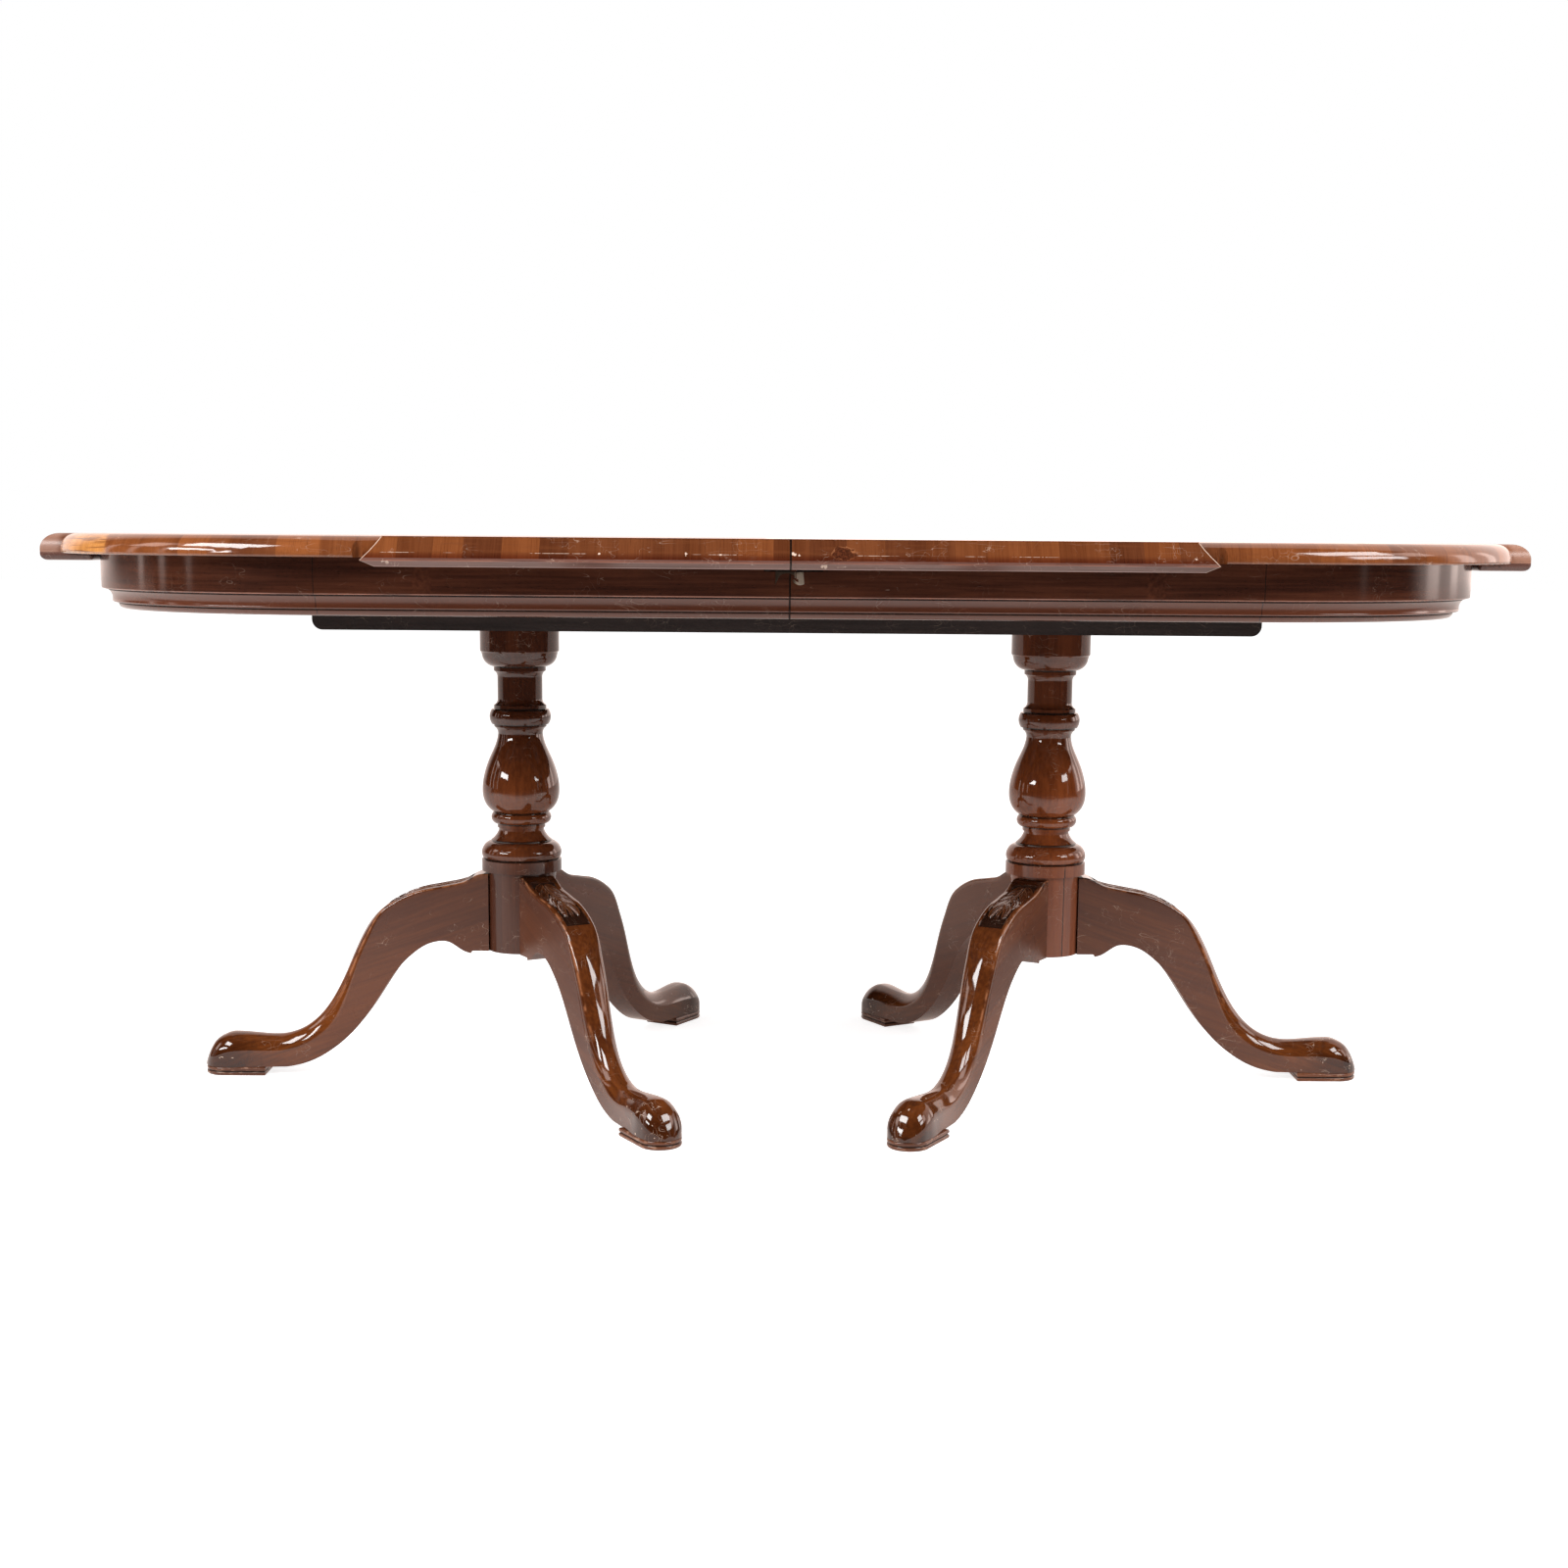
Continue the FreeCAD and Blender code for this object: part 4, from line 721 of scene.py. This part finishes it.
for side, half, body in ((1, "right", "right_half"), (-1, "left", "left_half")):
    cabriole_leg("carved_leg_outer_" + half, 0, side, body)
    cabriole_leg("carved_leg_front_" + half, 240, side, body)
    cabriole_leg("carved_leg_back_" + half, 120, side, body)

# The reeded pads under the feet, of the same wood, with their polish kicked off along the reeds.

pad_finish, tree, shader, place = new_material("worn foot pad", 0.45, 0.2, 0.6)
wood = placed(tree, mahogany, {"Place": place, "Dark": leg_dark, "Light": leg_light, "Pore Depth": 0.6})
kicked = times(tree, fade(tree, cloudy(tree, place, (90.0, 90.0, 300.0), 3.0), 0.55, 0.65), 0.6)
groove_z = 0.006
groove = near(tree, split(tree, place)["Z"], groove_z, 0.0018, 0.0004)
colour = tinted(tree, kicked, wood["Color"], (0.34, 0.17, 0.10, 1.0))
colour = tinted(tree, times(tree, groove, 0.85), colour, dirt_and_shade)
tree.links.new(colour, shader.inputs["Base Color"])
tree.links.new(calc(tree, "MULTIPLY_ADD", kicked, 0.3, 0.12), shader.inputs["Coat Roughness"])
bumped(tree, shader, times(tree, wood["Height"], 0.3), 0.0003)
dress("foot_pad", pad_finish)

# The iron: three-arm plates under the drums, and the two table locks at the seam. It is hammered
# sheet, dull and brown with rust in the low places, rubbed grey along the edges in use.

iron_finish, tree, shader, place = new_material("worn lock iron", 0.45, 0.5, 0.0)
shade_z, shade_soft = 0.7188, 0.0006
iron_x, _, iron_z = split(tree, place)
rust = fade(tree, cloudy(tree, place, (90.0, 90.0, 90.0), 5.0, 0.5), 0.45, 0.65)
colour = tinted(tree, rust, (0.22, 0.205, 0.19, 1.0), (0.10, 0.065, 0.045, 1.0))
colour = tinted(tree, fade(tree, iron_x, 0.008, 0.003), colour, (0.40, 0.30, 0.22, 1.0), "MULTIPLY")
colour = tinted(tree, fade(tree, iron_x, 0.003, 0.008), colour, (3.0, 2.6, 2.2, 1.0), "MULTIPLY")
colour = tinted(tree, fade(tree, iron_z, shade_z, shade_z + shade_soft), colour, dirt_and_shade)
tree.links.new(colour, shader.inputs["Base Color"])
tree.links.new(calc(tree, "MULTIPLY_ADD", rust, -0.5, 0.9), shader.inputs["Metallic"])
tree.links.new(calc(tree, "MULTIPLY_ADD", rust, 0.25, 0.38), shader.inputs["Roughness"])
bumped(tree, shader, cloudy(tree, place, (700.0, 700.0, 700.0), 3.0), 0.0004)
dress(("leg_plate_left", "leg_plate_right", "catch", "hook"), iron_finish)

# The wood screws: countersunk steel with a cut slot, four through each bearer into the top and four
# through each plate. One Geometry Nodes tree makes them all from a point for each screw.

steel_finish, tree, shader, place = new_material("screw steel", 0.35, 0.5, 0.0)
tarnish = cloudy(tree, place, (260.0, 260.0, 260.0), 4.0)
colour = tinted(tree, tarnish, (0.42, 0.40, 0.37, 1.0), (0.19, 0.16, 0.13, 1.0))
tree.links.new(colour, shader.inputs["Base Color"])
tree.links.new(calc(tree, "MULTIPLY_ADD", tarnish, 0.3, 0.2), shader.inputs["Roughness"])
shader.inputs["Metallic"].default_value = 0.9
bumped(tree, shader, tarnish, 0.0002)

screw_tree = bpy.data.node_groups.new("slotted screws", "GeometryNodeTree")
screw_tree.interface.new_socket("Places", in_out="INPUT", socket_type="NodeSocketGeometry")
for label in ("Head Radius", "Head Height", "Shank Radius", "Length", "Slot Width", "Slot Depth"):
    screw_tree.interface.new_socket(label, in_out="INPUT", socket_type=FLOAT)
screw_tree.interface.new_socket("Finish", in_out="INPUT", socket_type="NodeSocketMaterial")
screw_tree.interface.new_socket("Screws", in_out="OUTPUT", socket_type="NodeSocketGeometry")
given = screw_tree.nodes.new("NodeGroupInput").outputs
result = screw_tree.nodes.new("NodeGroupOutput").inputs
head = add_node(screw_tree, "GeometryNodeMeshCone", {}, {
    "Vertices": 32, "Radius Top": given["Shank Radius"], "Radius Bottom": given["Head Radius"],
    "Depth": given["Head Height"],
})
slot_length = times(screw_tree, given["Head Radius"], 3.0)
slot_size = joined(screw_tree, slot_length, given["Slot Width"], given["Slot Depth"])
cutter = add_node(screw_tree, "GeometryNodeMeshCube", {}, {"Size": slot_size})
slotted = add_node(screw_tree, "GeometryNodeMeshBoolean", {"operation": "DIFFERENCE"}, {
    "Mesh 1": head.outputs["Mesh"], "Mesh 2": cutter.outputs["Mesh"],
})
shank = add_node(screw_tree, "GeometryNodeMeshCylinder", {}, {
    "Vertices": 16, "Radius": given["Shank Radius"], "Depth": given["Length"],
})
shank_lift = calc(screw_tree, "MULTIPLY_ADD", given["Length"], 0.5, given["Head Height"])
lifted = add_node(screw_tree, "GeometryNodeTransform", {}, {
    "Geometry": shank.outputs["Mesh"], "Translation": joined(screw_tree, 0.0, 0.0, shank_lift),
})
whole = screw_tree.nodes.new("GeometryNodeJoinGeometry")
screw_tree.links.new(slotted.outputs["Mesh"], whole.inputs[0])
screw_tree.links.new(lifted.outputs["Geometry"], whole.inputs[0])
spread = add_node(screw_tree, "GeometryNodeInstanceOnPoints", {}, {
    "Points": given["Places"], "Instance": whole.outputs["Geometry"],
})
turn_inputs = {"Max": math.pi, "Seed": 4}
turned = add_node(screw_tree, "FunctionNodeRandomValue", {"data_type": "FLOAT"}, turn_inputs)
spread_turn = joined(screw_tree, 0.0, 0.0, turned.outputs[1])
screw_tree.links.new(spread_turn, spread.inputs["Rotation"])
real = add_node(screw_tree, "GeometryNodeRealizeInstances", {}, {"Geometry": spread.outputs["Instances"]})
finished = add_node(screw_tree, "GeometryNodeSetMaterial", {}, {
    "Geometry": real.outputs["Geometry"], "Material": given["Finish"],
})
screw_tree.links.new(finished.outputs["Geometry"], result["Screws"])

screw_sizes = {
    "Head Radius": 0.0045, "Head Height": 0.002, "Shank Radius": 0.0025, "Slot Width": 0.0011,
    "Slot Depth": 0.0022,
}
bearer_reach, bearer_side, bearer_foot, bearer_screw = 0.120, 0.150, 0.694, 0.052
plate_foot, arm_reach, plate_screw = 0.1786, 0.062, 0.022


def screws(name, places, length, node, body):
    mesh = bpy.data.meshes.new(name)
    mesh.from_pydata(places, [], [])
    holder = bpy.data.objects.new(name + "_places", mesh)
    bpy.context.scene.collection.objects.link(holder)
    modifier = holder.modifiers.new("screws", "NODES")
    modifier.node_group = screw_tree
    values = dict(screw_sizes, Length=length - screw_sizes["Head Height"], Finish=steel_finish)
    for item in screw_tree.interface.items_tree:
        if item.name in values and item.in_out == "INPUT":
            modifier[item.identifier] = values[item.name]
    view = bpy.context.evaluated_depsgraph_get()
    made = bpy.data.objects.new(name, bpy.data.meshes.new_from_object(holder.evaluated_get(view)))
    bpy.data.objects.remove(holder)
    bpy.context.scene.collection.objects.link(made)
    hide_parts(node)
    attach(made, body)


half_head = screw_sizes["Head Height"] / 2
for side, half, body in ((1, "right", "right_half"), (-1, "left", "left_half")):
    bearer_places = [
        (side * pedestal_x + dx, dy, bearer_foot + half_head)
        for dx in (-bearer_reach, bearer_reach) for dy in (-bearer_side, bearer_side)
    ]
    screws("slotted_bearer_screws_" + half, bearer_places, bearer_screw, "bearer_screws_" + half, body)
    plate_places = [(side * pedestal_x, 0.0, plate_foot + half_head)]
    for angle in (0, 120, 240):
        turn = math.radians(angle)
        arm_x, arm_y = arm_reach * math.cos(turn), arm_reach * math.sin(turn)
        plate_places.append((side * (pedestal_x + arm_x), arm_y, plate_foot + half_head))
    screws("slotted_plate_screws_" + half, plate_places, plate_screw, "leg_plate_screws_" + half, body)

# The studio: white paper on the floor, two soft boxes at the sides and two overhead, and the camera
# three metres in front of the pedestals, just above the top.

floor_half = 30.0
floor_mesh = bpy.data.meshes.new("floor")
floor_corners = [(floor_half * x, floor_half * y, 0) for x, y in ((-1, -1), (1, -1), (1, 1), (-1, 1))]
floor_mesh.from_pydata(floor_corners, [], [(0, 1, 2, 3)])
floor = bpy.data.objects.new("floor", floor_mesh)
bpy.context.scene.collection.objects.link(floor)
paper = bpy.data.materials.new("studio paper")
paper.use_nodes = True
tree = paper.node_tree
shader = tree.nodes["Principled BSDF"]
shader.inputs["Roughness"].default_value = 0.9
shader.inputs["Specular IOR Level"].default_value = 0.0
rays = tree.nodes.new("ShaderNodeLightPath").outputs
floor_x, floor_y, _ = split(tree, tree.nodes.new("ShaderNodeTexCoord").outputs["Object"])
paper_far = distance(tree, floor_x, floor_y)
paper_near = calc(tree, "MAXIMUM", fade(tree, paper_far, 4.5, 2.2), fade(tree, floor_y, 0.0, 0.6))
paper_shown = times(tree, paper_near, fade(tree, floor_y, -2.6, -0.5))
mirrored = times(tree, rays["Is Glossy Ray"], calc(tree, "SUBTRACT", 1.0, paper_shown))
paper_colour = tinted(tree, mirrored, (0.82, 0.82, 0.82, 1.0), (0.12, 0.12, 0.12, 1.0))
paper_glow = tinted(tree, rays["Is Glossy Ray"], (1.0, 1.0, 1.0, 1.0), (1.0, 0.74, 0.63, 1.0))
tree.links.new(paper_colour, shader.inputs["Base Color"])
tree.links.new(paper_glow, shader.inputs["Emission Color"])
plain = times(tree, calc(tree, "MAXIMUM", rays["Is Camera Ray"], rays["Is Transmission Ray"]), 0.80)
glossy = times(tree, times(tree, rays["Is Glossy Ray"], paper_shown), 0.55)
tree.links.new(calc(tree, "ADD", plain, glossy), shader.inputs["Emission Strength"])
floor_mesh.materials.append(paper)

# For mirrored rays the studio is dark in front and at the left, and white at the right and behind, with
# six upright strips of light and a patch above them on either side. For all others it is one soft level.
world = bpy.data.worlds.new("studio")
bpy.context.scene.world = world
world.use_nodes = True
tree = world.node_tree
background = tree.nodes["Background"]
rays = tree.nodes.new("ShaderNodeLightPath").outputs
way = tree.nodes.new("ShaderNodeTexCoord").outputs["Generated"]
way_x, way_y, way_z = split(tree, way)
bearing = calc(tree, "ARCTAN2", way_x, times(tree, way_y, -1.0))
soft_level, room_level, left_level, right_level, high_level = 0.50, 0.012, 1.3, 1.8, 5.0
shown = calc(tree, "MAXIMUM", times(tree, fade(tree, bearing, -2.05, -2.45), left_level),
             times(tree, fade(tree, bearing, 1.45, 1.65), right_level))
low_way = fade(tree, calc(tree, "ABSOLUTE", way_z), 0.5, 0.3)
for strip_way, strip_half, strip_level in (
    (-1.22, 0.03, 2.2), (-1.50, 0.04, 2.6), (-1.76, 0.04, 2.8),
    (1.02, 0.03, 1.2), (1.77, 0.12, 5.5), (2.12, 0.10, 4.0),
):
    strip = times(tree, near(tree, bearing, strip_way, strip_half, 0.5 * strip_half), strip_level)
    shown = calc(tree, "MAXIMUM", times(tree, strip, low_way), shown)
high_way = times(tree, fade(tree, way_z, 0.34, 0.42), fade(tree, way_z, 0.68, 0.60))
high_half = 0.17
for high_bearing in (-1.48, 1.40):
    high = times(tree, near(tree, bearing, high_bearing, high_half, 0.7 * high_half), high_level)
    shown = calc(tree, "MAXIMUM", times(tree, high, high_way), shown)
mirrored_light = calc(tree, "MAXIMUM", shown, room_level)
level = calc(tree, "ADD", times(tree, rays["Is Glossy Ray"], mirrored_light),
             times(tree, calc(tree, "SUBTRACT", 1.0, rays["Is Glossy Ray"]), soft_level))
clear = calc(tree, "MAXIMUM", rays["Is Camera Ray"], rays["Is Transmission Ray"])
level = calc(tree, "MAXIMUM", level, clear)
room_colour = tinted(tree, rays["Is Glossy Ray"], (1.0, 1.0, 1.0, 1.0), (1.0, 0.80, 0.73, 1.0))
tree.links.new(room_colour, background.inputs["Color"])
tree.links.new(level, background.inputs["Strength"])


def soft_box(name, place, aim, width, height, radiance):
    lamp = bpy.data.lights.new(name, "AREA")
    lamp.shape = "RECTANGLE"
    lamp.size, lamp.size_y = width, height
    lamp.energy = radiance * math.pi * width * height
    box = bpy.data.objects.new(name, lamp)
    box.location = place
    box.rotation_euler = (Vector(aim) - Vector(place)).to_track_quat("-Z", "Y").to_euler()
    box.visible_camera = False
    bpy.context.scene.collection.objects.link(box)


soft_box("left side box", (-2.62, -1.98, 1.45), (-0.1, 0.0, 0.45), 1.4, 0.32, 23.0)
soft_box("right side box", (2.30, -1.60, 1.40), (0.1, 0.0, 0.45), 0.9, 0.42, 13.0)
soft_box("left top box", (-2.2, -1.8, 2.5), (-0.5, -0.4, 0.75), 1.6, 0.8, 20.0)
soft_box("right top box", (2.0, -1.6, 2.25), (0.5, -0.4, 0.75), 1.3, 0.8, 14.0)

photo_side, focal_pixels, centre_row = 1600, 2200, 889
table_turn, camera_far, camera_high, look_down, camera_roll = 0.0095, 2.998, 0.760, 0.1545, 0.0079
table_shift = -0.0003
camera_data = bpy.data.cameras.new("camera")
camera_data.sensor_width = 36.0
camera_data.lens = camera_data.sensor_width * focal_pixels / photo_side
camera_data.shift_y = (centre_row - photo_side / 2) / photo_side
camera = bpy.data.objects.new("camera", camera_data)
turned_back = Matrix.Rotation(-table_turn, 4, "Z")
stand = Matrix.Translation((-table_shift, -camera_far, camera_high))
tilt = Matrix.Rotation(math.pi / 2 - look_down, 4, "X")
roll = Matrix.Rotation(camera_roll, 4, "Z")
camera.matrix_world = turned_back @ stand @ tilt @ roll
bpy.context.scene.collection.objects.link(camera)
bpy.context.scene.camera = camera
bpy.context.scene.view_settings.view_transform = "Standard"
